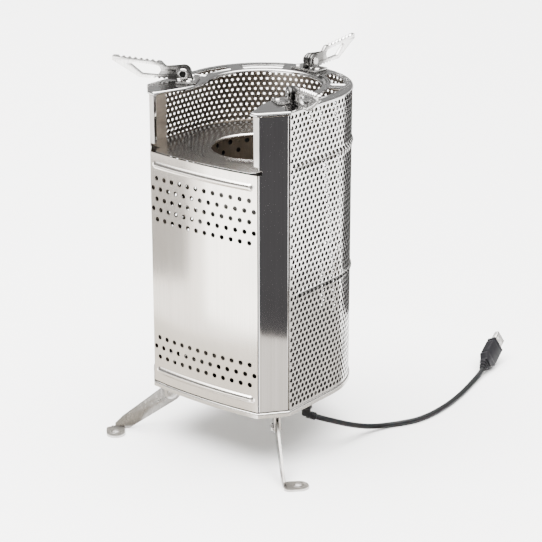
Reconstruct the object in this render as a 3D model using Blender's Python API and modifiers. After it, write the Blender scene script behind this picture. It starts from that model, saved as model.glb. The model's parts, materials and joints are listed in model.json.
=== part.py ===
"""Folding camp stove in sheet steel, with a blower in its base.

Sizes are in millimetres with +Z up and the front facing -Y. The feet stand on z = 0, and the
origin is under the middle of the stove's overall box, without its cable.
"""

import math

import bmesh
import bpy
from mathutils import Matrix, Vector

MM = 0.001
CLEARANCE = 0.3
SHEET = 0.8

# Heights above the ground
TRAY_TOP = 50.0
BODY_HEIGHT = 247.1
RING_TOP = TRAY_TOP + BODY_HEIGHT
DECK_TOP = TRAY_TOP + 199.2

# Plan of the body: a half round back, straight sides, cut corners and a bowed front
BACK_RADIUS = 71.0
SIDE_FRONT = -56.1
CORNER_X = 54.8
CORNER_Y = -76.5
FRONT_BOW = 3.7
BACK_STEPS = 22
FRONT_STEPS = 8
BEAD_STEPS = 3
TURN_STEPS = 28

# Base tray
TRAY_OVERHANG = 0.9
TRAY_PLATE = 1.0
TRAY_EDGE = 4.2
INTAKE_SLOTS = 12
INTAKE_INNER = 13.0
INTAKE_OUTER = 26.0
INTAKE_WIDTH = 3.4
CORNER_TAB_HEIGHT = 12.0
CORNER_TAB_WIDTH = 7.0

# Pillars
FLANGE_WIDTH = 4.3
FLANGE_RETURN = 3.0
PILLAR_LAP = 17.5
FLANGE_END = 5.2
CORNER_NOTCH = 2.4
CORNER_NOTCH_END = 2.6

# Front panel
HOLE_RADIUS = 1.95
HOLE_PITCH = 8.64
HOLE_ROWS_UPPER = 5
HOLE_TOP_ROW = 177.0
HOLE_ROWS_LOWER = 3
HOLE_LOW_TOP_ROW = 40.6
HOLE_ROW_PITCH = 8.6
HOLES_IN_ROW = 12
PANEL_BEAD_HEIGHTS = (11.0, 187.7)
PANEL_BEAD_HALF = 51.0
PANEL_BEAD_WIDTH = 5.6
PANEL_BEAD_RISE = 1.5

# Guard
GUARD_BEAD_HEIGHTS = (95.0, 201.7)
GUARD_BEAD_STARTS = (-47.0, -50.0)
GUARD_BEAD_WIDTH = 4.4
GUARD_BEAD_RISE = 1.1
MESH_COLUMNS = 12
MESH_WIDTH = 15.9
MESH_HEIGHT = 15.5
MESH_ROWS = (14.5, 36.0, 57.5, 79.0, 112.0, 135.0, 158.0, 181.0, 223.5)

# Deck
DECK_PLATE = 1.2
BURNER_RADIUS = 37.6
CHAMBER_Y = -7.1
BURNER_LIP = 2.4
DISH_RADIUS = 60.0
DISH_DEPTH = 2.8
DECK_CORNER = (44.5, -69.9)
DECK_CORNER_RADIUS = 7.6
DECK_GATE = 14.0

# Fire chamber, jacket and grate
CHAMBER_DEPTH = 132.0
CHAMBER_LEDGE = 5.0
LEDGE_DEPTH = 120.0
JACKET_RADIUS = 50.0
AIR_HOLE_RADIUS = 2.0
AIR_HOLES = 16
AIR_ROWS = (8.6, 16.2)
AIR_TURN = 7.7
PRIMARY_ROW = 114.0
GRATE_PLATE = 1.5
GRATE_HOLE = 3.0
PLENUM_HEIGHT = 38.0
PLENUM_PLATE = 1.0
PLENUM_EDGE = 6.0
PLENUM_OPENING = 27.0

# Blower
FAN_SIZE = 60.0
FAN_DEPTH = 15.0
FAN_BORE = 28.0
FAN_BLADES = 7
FAN_HUB = 11.0
FAN_SHAFT = 1.5
FAN_WEB = 3.0
POST_PITCH = 25.0
POST_RADIUS = 2.0

# Top ring
RING_OVERHANG = 0.6
RING_SHEET = 1.2
RING_HOLE = 46.0
RING_EDGE = 2.4
INNER_LIP = 3.2
SLOT_INNER = 54.0
SLOT_OUTER = 64.5
SLOT_LIP = 0.8
SLOT_ANGLES = ((-12.0, 21.0), (33.5, 67.5), (112.5, 146.5), (159.0, 192.0))
RING_HOLE_END = -30.0
RING_LEFT = ((-72.0, -60.0), (-57.0, -75.9))
THROAT = ((45.4, -69.5), (42.3, -60.3), (38.8, -49.4), (37.9, -41.5), (38.5, -32.0))
WING_TIP_X = 48.5

# Pot support arms and their brackets; u is out from the pivot, v is up from it
ARM_ANGLES = {"back": 90.0, "left": 211.5, "right": -31.5}
ARM_PIVOT_RADII = {"back": 62.7, "left": 64.6, "right": 64.6}
ARM_PIVOT_RISE = 6.7
ARM_THICKNESS = 2.5
ARM_ROOT = 6.4
ARM_NECK = (14.1, 5.0)
ARM_STEP = (18.1, 9.1)
ARM_TOP_END = (55.9, 13.1)
ARM_TIP_LOW = (58.4, 9.0)
ARM_TIP_ROUND = 1.7
ARM_LOW_CORNER = (36.0, -4.7)
ARM_TEETH = 8
ARM_TOOTH_DEPTH = 1.3
ARM_LOW_TEETH = 5
ARM_LOW_TEETH_START = 10.0
ARM_LOW_TEETH_END = 30.0
ARM_WINDOW = ((19.6, 4.4), (21.4, 5.5), (41.2, 7.6), (43.0, 6.2), (33.6, -1.4), (20.9, -2.2), (18.4, 1.6))
BRACKET_PLATE = 1.5
BRACKET_IN = 11.5
BRACKET_OUT = 5.2
BRACKET_HALF = 13.5
BRACKET_SLOT_IN = 8.0
EAR_PLATE = 2.0
EAR_ROUND = 6.0
RIVET_RADIUS = 2.6
RIVET_RISE = 1.3
RIVET_IN = 5.2
RIVET_SIDE = 9.9
PIN_RADIUS = 2.0
PIN_PLAY = 0.3
BOLT_HEAD_RADIUS = 4.5
BOLT_HEAD_RISE = 2.4
HEX_SOCKET = 2.9
HEX_DEPTH = 1.4

# Legs and their brackets
LEG_ANGLES = {"back": 90.0, "left": 224.0, "right": -44.0}
LEG_PIVOT_RADII = {"back": 61.0, "left": 79.0, "right": 79.0}
LEG_PIVOT_DROP = 18.5
LEG_THICKNESS = 1.8
LEG_ROOT = 8.0
LEG_SHOULDER = (41.2, -20.4)
LEG_TOE = (47.6, -26.8)
LEG_HEEL = 36.0
FOOT_LENGTH = 20.5
FOOT_PLATE = 1.8
FOOT_WIDTH = 15.5
FOOT_MIDDLE = 47.4
FOOT_HOLE = 2.8
FOOT_RING = 4.9
FOOT_RING_RISE = 0.7
FOOT_HOLE_OUT = 11.0
LEG_BRACKET_PLATE = 1.5
LEG_BRACKET_HALF = 11.0
LEG_BRACKET_IN = 8.5
LEG_BRACKET_OUT = 6.8
LEG_EAR_PLATE = 1.5
LEG_EAR_ROUND = 5.4
LEG_PIN_HEAD = 3.6
LEG_PIN_RISE = 2.0

# Cable, gland and plug
GLAND_X = 65.4
GLAND_Y = -26.8
GLAND_RADIUS = 4.8
GLAND_DROP = 7.5
GLAND_STEM = 2.6
GLAND_NECK = 3.7
GLAND_ELBOW = 6.5
SLEEVE_RADIUS = 3.3
SLEEVE_LENGTH = 7.6
CABLE_RADIUS = 2.3
PLUG_WIDTH = 15.0
PLUG_THICKNESS = 7.5
PLUG_LENGTH = 30.0
PLUG_ROLL = -26.0
RELIEF_LENGTH = 10.0
SHELL_WIDTH = 12.0
SHELL_THICKNESS = 4.5
SHELL_LENGTH = 12.0
SHELL_WALL = 0.4

STEEL = ((0.72, 0.70, 0.66), 0.32, 1.0)
DARK_STEEL = ((0.42, 0.41, 0.39), 0.38, 1.0)
BLACK = ((0.03, 0.03, 0.035), 0.55, 0.0)


def material(name, look):
    colour, roughness, metallic = look
    made = bpy.data.materials.get(name) or bpy.data.materials.new(name)
    made.use_nodes = True
    shader = made.node_tree.nodes["Principled BSDF"]
    shader.inputs["Base Color"].default_value = (*colour, 1.0)
    shader.inputs["Roughness"].default_value = roughness
    shader.inputs["Metallic"].default_value = metallic
    return made


def start():
    for old in list(bpy.data.objects):
        bpy.data.objects.remove(old, do_unlink=True)
    for name in ("Camp stove", "Cutters"):
        group = bpy.data.collections.new(name)
        bpy.context.scene.collection.children.link(group)
    frame = bpy.data.objects.new("stove_frame", None)
    bpy.data.collections["Camp stove"].objects.link(frame)
    return frame


def station(name, angle, parent):
    """An empty on the stove's axis, turned so that its +X points out at this angle."""
    made = bpy.data.objects.new(name, None)
    made.parent = parent
    made.rotation_euler = (0, 0, math.radians(angle))
    bpy.data.collections["Camp stove"].objects.link(made)
    return made


def solid(mesh, name, look, parent, place=(0, 0, 0)):
    made = bpy.data.objects.new(name, mesh)
    mesh.name = name
    mesh.materials.clear()
    mesh.materials.append(material(name, look))
    mesh.shade_smooth()
    mesh.set_sharp_from_angle(angle=math.radians(35))
    made.parent = parent
    made.location = Vector(place) * MM
    bpy.data.collections["Camp stove"].objects.link(made)
    return made


def boolean(target, mesh, operation="DIFFERENCE"):
    """Cuts a mesh from the target, or joins it on; the mesh is in the target's own frame."""
    tool = bpy.data.objects.new(target.name + "_" + operation.lower(), mesh)
    tool.parent = target
    tool.hide_render = True
    tool.display_type = "WIRE"
    bpy.data.collections["Cutters"].objects.link(tool)
    step = target.modifiers.new(operation.title(), "BOOLEAN")
    step.operation = operation
    step.solver = "EXACT"
    step.object = tool
    return tool


def from_curve(curve, name):
    """The mesh of a curve, with its caps welded."""
    holder = bpy.data.objects.new(name, curve)
    bpy.context.scene.collection.objects.link(holder)
    graph = bpy.context.evaluated_depsgraph_get()
    mesh = bpy.data.meshes.new_from_object(holder.evaluated_get(graph))
    bpy.data.objects.remove(holder, do_unlink=True)
    shape = bmesh.new()
    shape.from_mesh(mesh)
    bmesh.ops.remove_doubles(shape, verts=shape.verts, dist=0.00001)
    bmesh.ops.recalc_face_normals(shape, faces=shape.faces)
    shape.to_mesh(mesh)
    shape.free()
    return mesh


def flat_curve(name, loops, half):
    curve = bpy.data.curves.new(name, "CURVE")
    curve.dimensions = "2D"
    curve.fill_mode = "BOTH"
    curve.extrude = half * MM
    for loop in loops:
        line = curve.splines.new("POLY")
        line.points.add(len(loop) - 1)
        for point, (x, y) in zip(line.points, loop):
            point.co = (x * MM, y * MM, 0, 1)
        line.use_cyclic_u = True
    return curve


def plate(name, loops, low, high):
    """A flat outline, with any holes, between two heights."""
    mesh = from_curve(flat_curve(name, loops, (high - low) / 2), name)
    mesh.transform(Matrix.Translation((0, 0, (low + high) / 2 * MM)))
    return mesh


def upright(name, loops, left, right):
    """An outline in the X-Z plane, between two places across Y."""
    mesh = from_curve(flat_curve(name, loops, (right - left) / 2), name)
    mesh.transform(Matrix.Rotation(math.radians(90), 4, "X"))
    mesh.transform(Matrix.Translation((0, (left + right) / 2 * MM, 0)))
    return mesh


def folded(name, loops, folds, height, thickness, look, parent):
    """A sheet whose edges turn down, or up, by each loop's fold; its outer face is the outline."""
    mesh = from_curve(flat_curve(name, loops, 0), name)
    shape = bmesh.new()
    shape.from_mesh(mesh)
    for face in shape.faces:
        if face.normal.z < 0:
            face.normal_flip()
    for loop, fold in zip(loops, folds):
        if fold:
            ends = {(round(x * MM, 6), round(y * MM, 6)) for x, y in loop}
            edges = [
                edge for edge in shape.edges
                if edge.is_boundary and all((round(v.co.x, 6), round(v.co.y, 6)) in ends for v in edge.verts)
            ]
            grown = bmesh.ops.extrude_edge_only(shape, edges=edges)["geom"]
            turned = [part for part in grown if isinstance(part, bmesh.types.BMVert)]
            bmesh.ops.translate(shape, verts=turned, vec=(0, 0, fold * MM))
    bmesh.ops.translate(shape, verts=shape.verts, vec=(0, 0, height * MM))
    shape.to_mesh(mesh)
    shape.free()
    made = solid(mesh, name, look, parent)
    skin = made.modifiers.new("Sheet", "SOLIDIFY")
    skin.thickness = thickness * MM
    skin.offset = -1
    skin.use_even_offset = True
    return made


def turned(name, profile, steps, look, parent, place=(0, 0, 0)):
    """A closed profile of (radius, height), turned about the vertical."""
    mesh = bpy.data.meshes.new(name)
    shape = bmesh.new()
    corners = [shape.verts.new((radius * MM, 0, height * MM)) for radius, height in profile]
    for first, second in zip(corners, corners[1:]):
        shape.edges.new((first, second))
    if profile[0][0] > 0:
        shape.edges.new((corners[-1], corners[0]))
    shape.to_mesh(mesh)
    shape.free()
    made = solid(mesh, name, look, parent, place)
    spin = made.modifiers.new("Turn", "SCREW")
    spin.steps = steps
    spin.render_steps = steps
    spin.use_merge_vertices = True
    spin.merge_threshold = 0.00001
    return made


def tube(name, points, radius, resolution):
    curve = bpy.data.curves.new(name, "CURVE")
    curve.dimensions = "3D"
    curve.bevel_depth = radius * MM
    curve.bevel_resolution = resolution
    curve.use_fill_caps = True
    line = curve.splines.new("POLY")
    line.points.add(len(points) - 1)
    for point, spot in zip(line.points, points):
        point.co = (*(Vector(spot) * MM), 1)
    return from_curve(curve, name)


def rod(radius, low, high, sides=16, axis="Z", place=(0, 0, 0)):
    """A round bar, or a prism with few sides, along one axis."""
    mesh = bpy.data.meshes.new("rod")
    shape = bmesh.new()
    bmesh.ops.create_cone(
        shape, cap_ends=True, segments=sides, radius1=radius * MM, radius2=radius * MM,
        depth=(high - low) * MM, matrix=Matrix.Translation((0, 0, (low + high) / 2 * MM)),
    )
    if axis == "Y":
        bmesh.ops.rotate(shape, verts=shape.verts, matrix=Matrix.Rotation(math.radians(-90), 3, "X"))
    if axis == "X":
        bmesh.ops.rotate(shape, verts=shape.verts, matrix=Matrix.Rotation(math.radians(90), 3, "Y"))
    bmesh.ops.translate(shape, verts=shape.verts, vec=Vector(place) * MM)
    shape.to_mesh(mesh)
    shape.free()
    return mesh


def block(low, high):
    mesh = bpy.data.meshes.new("block")
    shape = bmesh.new()
    bmesh.ops.create_cube(shape, size=1)
    for vert in shape.verts:
        vert.co = Vector(((b + a) / 2 + (b - a) * c for a, b, c in zip(low, high, vert.co))) * MM
    shape.to_mesh(mesh)
    shape.free()
    return mesh


def several(meshes):
    """One mesh that holds these meshes side by side, and removes them."""
    shape = bmesh.new()
    for mesh in meshes:
        shape.from_mesh(mesh)
    made = bpy.data.meshes.new("several")
    shape.to_mesh(made)
    shape.free()
    for mesh in meshes:
        bpy.data.meshes.remove(mesh)
    return made


def arc(radius, first, last, steps, centre=(0, 0)):
    """Points on an arc, from one angle to another in degrees."""
    angles = [math.radians(first + (last - first) * step / steps) for step in range(steps + 1)]
    return [(centre[0] + radius * math.cos(a), centre[1] + radius * math.sin(a)) for a in angles]


def circle(radius, sides, centre=(0, 0)):
    return arc(radius, 0, 360, sides, centre)[:-1]


def offset_path(points, distance, closed=False):
    """The path moved to the right of its own direction, with mitred corners."""
    count = len(points)
    moved = []
    for index, point in enumerate(points):
        before = points[index - 1] if closed or index else None
        after = points[(index + 1) % count] if closed or index < count - 1 else None
        normals = []
        for start_point, end_point in ((before, point), (point, after)):
            if start_point and end_point:
                run = Vector((end_point[0] - start_point[0], end_point[1] - start_point[1])).normalized()
                normals.append(Vector((run.y, -run.x)))
        mean = sum(normals, Vector((0, 0))).normalized()
        reach = distance / mean.dot(normals[0])
        moved.append((point[0] + mean.x * reach, point[1] + mean.y * reach))
    return moved


def band(points, inner):
    """A closed loop along an open path, as thick as the given distance on its left side."""
    return points + offset_path(points, -inner)[::-1]


def bow_radius():
    return (CORNER_X ** 2 + FRONT_BOW ** 2) / (2 * FRONT_BOW)


def front_y(x, inset=0.0):
    """The bowed front's place at x, or that of a surface further in."""
    radius = bow_radius() - inset
    return CORNER_Y - FRONT_BOW + bow_radius() - math.sqrt(radius ** 2 - x ** 2)


def front_path(reach, inset=0.0):
    """The bow from left to right, as far out as reach."""
    places = [-reach + 2 * reach * step / FRONT_STEPS for step in range(FRONT_STEPS + 1)]
    return [(x, front_y(x, inset)) for x in places]


def chamfer_run():
    """The unit direction of the right cut corner, from front to back."""
    return Vector((BACK_RADIUS - CORNER_X, SIDE_FRONT - CORNER_Y)).normalized()


def body_outline(offset=0.0):
    """The body's outer faces, anticlockwise from the right front corner."""
    path = [(CORNER_X, CORNER_Y), (BACK_RADIUS, SIDE_FRONT)]
    path += arc(BACK_RADIUS, 0, 180, BACK_STEPS)
    path += [(-BACK_RADIUS, SIDE_FRONT)]
    path += front_path(CORNER_X)[:-1]
    return offset_path(path, offset, closed=True) if offset else path


def mirrored(points):
    return [(-x, y) for x, y in reversed(points)]


def base_tray(frame):
    slots = []
    for index in range(INTAKE_SLOTS):
        angle = 2 * math.pi * index / INTAKE_SLOTS
        half = INTAKE_WIDTH / 2
        shape = arc(half, 90, 270, 2, (INTAKE_INNER + half, 0)) + arc(half, -90, 90, 2, (INTAKE_OUTER - half, 0))
        turn = Matrix.Rotation(angle, 2)
        slots.append([tuple(turn @ Vector(point)) for point in shape])
    gland_hole = circle(GLAND_STEM + CLEARANCE, 16, (GLAND_X, GLAND_Y))
    loops = [body_outline(TRAY_OVERHANG)] + slots + [gland_hole]
    tray = folded("base_tray", loops, [-TRAY_EDGE], TRAY_TOP, TRAY_PLATE, STEEL, frame)
    run = chamfer_run()
    out = Vector((run.y, -run.x)) * (TRAY_OVERHANG - TRAY_PLATE / 2)
    foot = Vector((CORNER_X, CORNER_Y)) + out
    tab = [tuple(foot + run * place) for place in (0, CORNER_TAB_WIDTH)]
    tab_loop = mirrored(band(offset_path(tab, TRAY_PLATE / 2), TRAY_PLATE * 0.7))
    tab_mesh = plate("corner_tab", [tab_loop], TRAY_TOP - TRAY_PLATE / 2, TRAY_TOP + CORNER_TAB_HEIGHT)
    boolean(tray, tab_mesh, "UNION")
    return tray


def pillar(frame, side):
    name = ("left", "right")[side > 0] + "_pillar"
    inset = SHEET + CLEARANCE
    run = chamfer_run()
    corner = Vector((CORNER_X, CORNER_Y))
    start_x = CORNER_X - FLANGE_WIDTH
    flange_y = front_y(start_x, inset)
    corner_step = (flange_y + (front_y(CORNER_X, inset) - flange_y) - corner.y) / run.y
    flange_corner = corner + run * corner_step
    lap_x = BACK_RADIUS - SHEET - CLEARANCE
    lap_corner = corner + run * ((lap_x - corner.x) / run.x)
    path = [
        (start_x, flange_y + FLANGE_RETURN),
        (start_x, flange_y),
        tuple(flange_corner),
        tuple(lap_corner),
        (lap_x, lap_corner.y + PILLAR_LAP),
    ]
    loop = band(path, SHEET)
    if side < 0:
        loop = mirrored(loop)
    high = RING_TOP - RING_EDGE - CLEARANCE
    made = solid(plate(name, [loop], TRAY_TOP + CLEARANCE, high), name, STEEL, frame)
    low_cut = DECK_TOP - DECK_PLATE - CLEARANCE
    notch = sorted((side * (start_x - 1), side * (CORNER_X + 0.2)))
    corner_cut = sorted((side * (start_x - 1), side * (CORNER_X + CORNER_NOTCH)))
    deep = CORNER_Y - FRONT_BOW
    boolean(made, block((notch[0], deep, low_cut), (notch[1], deep + 12, DECK_TOP + FLANGE_END)))
    boolean(made, block((corner_cut[0], deep, low_cut - 0.01), (corner_cut[1], deep + 12.5, DECK_TOP + CORNER_NOTCH_END)))
    return made


def row_places(row):
    """Where a row's holes are across the panel; every second row has one more, half a pitch over."""
    count = HOLES_IN_ROW + row % 2
    return [(index - (count - 1) / 2) * HOLE_PITCH for index in range(count)]


def front_panel(frame):
    outer = front_path(CORNER_X)
    loop = band(outer, SHEET)
    low = TRAY_TOP + CLEARANCE
    high = DECK_TOP - DECK_PLATE - CLEARANCE
    panel = solid(plate("front_panel", [loop], low, high), "front_panel", STEEL, frame)
    for height in PANEL_BEAD_HEIGHTS:
        add_bead(panel, front_path(PANEL_BEAD_HALF), TRAY_TOP + height, PANEL_BEAD_WIDTH, PANEL_BEAD_RISE)
    rods = []
    for top, rows in ((HOLE_TOP_ROW, HOLE_ROWS_UPPER), (HOLE_LOW_TOP_ROW, HOLE_ROWS_LOWER)):
        for row in range(rows):
            height = TRAY_TOP + top - row * HOLE_ROW_PITCH
            rods += [rod(HOLE_RADIUS, -4, 4, 6, "Y", (x, front_y(x), height)) for x in row_places(row)]
    boolean(panel, several(rods))
    return panel


def add_bead(target, path, height, width, rise):
    """A pressed bead: a low round rib outside, with its hollow behind."""
    radius = (rise ** 2 + (width / 2) ** 2) / (2 * rise)
    root = SHEET / 2
    for shrink, base, operation in ((0, -root, "UNION"), (SHEET, -SHEET - root, "DIFFERENCE")):
        inner = radius - shrink
        reach = math.acos((base - rise + radius) / inner)
        angles = [reach * (2 * step / BEAD_STEPS - 1) for step in range(BEAD_STEPS + 1)]
        section = [(rise - radius + inner * math.cos(a), inner * math.sin(a)) for a in angles]
        boolean(target, swept(target.name + "_bead", path, height, section, base), operation)


def swept(name, path, height, section, base):
    """A closed section of (out, up) along a level path; it shrinks to its base near both ends."""
    for _ in range(2):
        first, second = Vector(path[0]), Vector(path[1])
        run = (second - first).normalized()
        path = [tuple(first), tuple(first + run * 1.2), tuple(first + run * 3)] + path[1:]
        path = path[::-1]
    out = offset_path(path, 1.0)
    scales = [0.25, 0.75] + [1] * (len(path) - 4) + [0.75, 0.25]
    mesh = bpy.data.meshes.new(name)
    shape = bmesh.new()
    loops = []
    for (x, y), (out_x, out_y), scale in zip(path, out, scales):
        loop = []
        for reach, up in section:
            step = base + (reach - base) * scale
            spot = (x + (out_x - x) * step, y + (out_y - y) * step, height + up * scale)
            loop.append(shape.verts.new(Vector(spot) * MM))
        loops.append(loop)
    for before, after in zip(loops, loops[1:]):
        for index in range(len(section)):
            beside = (index + 1) % len(section)
            shape.faces.new((before[index], before[beside], after[beside], after[index]))
    shape.faces.new(loops[0][::-1])
    shape.faces.new(loops[-1])
    bmesh.ops.recalc_face_normals(shape, faces=shape.faces)
    shape.to_mesh(mesh)
    shape.free()
    return mesh


def guard_path(start_y=None):
    """The guard's outer face, from its right front end round the back to its left one."""
    first = SIDE_FRONT + CLEARANCE if start_y is None else start_y
    half = arc(BACK_RADIUS, 0, 180, BACK_STEPS)
    return [(BACK_RADIUS, first)] + half + [(-BACK_RADIUS, first)]


def guard(frame):
    loop = band(guard_path(), SHEET)
    high = RING_TOP - RING_EDGE - CLEARANCE
    made = solid(plate("perforated_guard", [loop], TRAY_TOP + CLEARANCE, high), "perforated_guard", STEEL, frame)
    for height, start_y in zip(GUARD_BEAD_HEIGHTS, GUARD_BEAD_STARTS):
        add_bead(made, guard_path(start_y), TRAY_TOP + height, GUARD_BEAD_WIDTH, GUARD_BEAD_RISE)
    boolean(made, several(mesh_openings()))
    return made


def mesh_openings():
    """The guard's perforation as a plain grid of openings, as wide and as high as the fine mesh is open."""
    straight = -(SIDE_FRONT + CLEARANCE)
    pitch = (2 * straight + math.pi * BACK_RADIUS) / MESH_COLUMNS
    tools = []
    for row in MESH_ROWS:
        low, high = TRAY_TOP + row - MESH_HEIGHT / 2, TRAY_TOP + row + MESH_HEIGHT / 2
        for column in range(MESH_COLUMNS):
            reach = (column + 0.5) * pitch - straight
            tool = block((BACK_RADIUS - 3, -MESH_WIDTH / 2, low), (BACK_RADIUS + 3, MESH_WIDTH / 2, high))
            over = reach - math.pi * BACK_RADIUS
            if reach < 0:
                turn = Matrix.Translation((0, reach * MM, 0))
            elif over > 0:
                turn = Matrix.Translation((0, -over * MM, 0)) @ Matrix.Rotation(math.pi, 4, "Z")
            else:
                turn = Matrix.Rotation(reach / BACK_RADIUS, 4, "Z")
            tool.transform(turn)
            tools.append(tool)
    return tools


def deck_plate(frame):
    run = chamfer_run()
    inner = SHEET + CLEARANCE
    side_x = BACK_RADIUS - 2 * inner
    corner = Vector((CORNER_X, CORNER_Y))
    across = Vector((-run.y, run.x))
    lap_end = SIDE_FRONT + PILLAR_LAP
    gate = corner + across * (SHEET + 2 * CLEARANCE) + run * DECK_GATE
    shoulder = gate + run * ((side_x - gate.x) / run.x)
    tongue = arc(DECK_CORNER_RADIUS, -80, 20, 8, DECK_CORNER)
    right = tongue + [tuple(gate), tuple(shoulder), (side_x, lap_end), (side_x + inner, lap_end + 0.6)]
    back = arc(side_x + inner, 0, 180, BACK_STEPS)
    outline = right + back + mirrored(right) + front_path(DECK_CORNER[0])
    centre = (0, CHAMBER_Y)
    hole = circle(DISH_RADIUS, TURN_STEPS, centre)
    deck = folded("deck_plate", [outline, hole], [0, 0], DECK_TOP, DECK_PLATE, DARK_STEEL, frame)
    rim = DECK_TOP - DISH_DEPTH
    dished(deck.data, centre, DISH_RADIUS, [(BURNER_RADIUS, rim), (BURNER_RADIUS, rim - BURNER_LIP)])
    return deck


def dished(mesh, centre, radius, rings):
    """Carries a sheet's round opening inwards through rings of (radius, height)."""
    shape = bmesh.new()
    shape.from_mesh(mesh)

    def away(vert):
        return math.hypot(vert.co.x / MM - centre[0], vert.co.y / MM - centre[1])

    edges = [
        edge for edge in shape.edges
        if edge.is_boundary and all(abs(away(vert) - radius) < 0.01 for vert in edge.verts)
    ]
    for ring_radius, height in rings:
        grown = bmesh.ops.extrude_edge_only(shape, edges=edges)["geom"]
        edges = [part for part in grown if isinstance(part, bmesh.types.BMEdge) and part.is_boundary]
        for vert in (part for part in grown if isinstance(part, bmesh.types.BMVert)):
            scale = ring_radius / away(vert)
            vert.co.x = (centre[0] + (vert.co.x / MM - centre[0]) * scale) * MM
            vert.co.y = (centre[1] + (vert.co.y / MM - centre[1]) * scale) * MM
            vert.co.z = height * MM
    shape.to_mesh(mesh)
    shape.free()


def rim_underside():
    """The level just below the dished deck's burner rim, where the fire chamber hangs."""
    return DECK_TOP - DISH_DEPTH - DECK_PLATE - CLEARANCE


def fire_chamber(frame):
    top = rim_underside()
    inner = BURNER_RADIUS + DECK_PLATE + CLEARANCE
    ledge = inner - CHAMBER_LEDGE
    floor = top - CHAMBER_DEPTH
    step = top - LEDGE_DEPTH
    flange = JACKET_RADIUS + SHEET
    profile = [
        (flange, top), (flange, top - SHEET), (inner + SHEET, top - SHEET), (inner + SHEET, step - SHEET),
        (ledge + SHEET, step - SHEET), (ledge + SHEET, floor), (0, floor), (0, floor + SHEET),
        (ledge, floor + SHEET), (ledge, step), (inner, step), (inner, top),
    ]
    made = turned("fire_chamber", profile, TURN_STEPS, DARK_STEEL, frame, (0, CHAMBER_Y, 0))
    rods = []
    for row, drop in enumerate((*AIR_ROWS, PRIMARY_ROW)):
        count = AIR_HOLES // 2 if drop == PRIMARY_ROW else AIR_HOLES
        for index in range(count):
            angle = math.radians(AIR_TURN) + 2 * math.pi * (index + row / 2) / count
            hole = rod(AIR_HOLE_RADIUS, inner - 2, inner + 3, 6, "X", (0, 0, DECK_TOP - drop))
            hole.transform(Matrix.Rotation(angle, 4, "Z"))
            rods.append(hole)
    boolean(made, several(rods))
    return made


def air_jacket(frame):
    low = TRAY_TOP + PLENUM_HEIGHT + CLEARANCE
    high = rim_underside() - CLEARANCE - SHEET
    radius = JACKET_RADIUS
    profile = [(radius + SHEET, high), (radius + SHEET, low), (radius, low), (radius, high)]
    return turned("air_jacket", profile, TURN_STEPS, DARK_STEEL, frame, (0, CHAMBER_Y, 0))


def grate(frame):
    low = rim_underside() - LEDGE_DEPTH + CLEARANCE
    radius = BURNER_RADIUS + DECK_PLATE
    outline = circle(radius, TURN_STEPS)
    holes = [circle(GRATE_HOLE, 6)]
    for ring, count in ((13, 6), (26, 12)):
        for index in range(count):
            angle = 2 * math.pi * index / count
            holes.append(circle(GRATE_HOLE, 6, (ring * math.cos(angle), ring * math.sin(angle))))
    mesh = plate("grate", [outline] + holes, low, low + GRATE_PLATE)
    return solid(mesh, "grate", DARK_STEEL, frame, (0, CHAMBER_Y, 0))


def plenum_plate(frame):
    """The floor of the air jacket, which the blower blows through; it stands on four posts."""
    inner = offset_path(body_outline(), -(SHEET + CLEARANCE) * 2 - CLEARANCE, closed=True)
    front = front_y(CORNER_X - FLANGE_WIDTH) + SHEET + 2 * CLEARANCE + FLANGE_RETURN
    (low_x, low_y), (high_x, high_y) = inner[:2]
    front_x = low_x + (high_x - low_x) * (front - low_y) / (high_y - low_y)
    edge = [(front_x, front)] + inner[1:BACK_STEPS + 4] + [(-front_x, front)]
    opening = circle(PLENUM_OPENING, TURN_STEPS, (0, CHAMBER_Y))
    return folded(
        "plenum_plate", [edge, opening], [-PLENUM_EDGE, 0], TRAY_TOP + PLENUM_HEIGHT, PLENUM_PLATE,
        DARK_STEEL, frame,
    )


def post_places():
    return [(x * POST_PITCH, CHAMBER_Y + y * POST_PITCH) for x in (-1, 1) for y in (-1, 1)]


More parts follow.
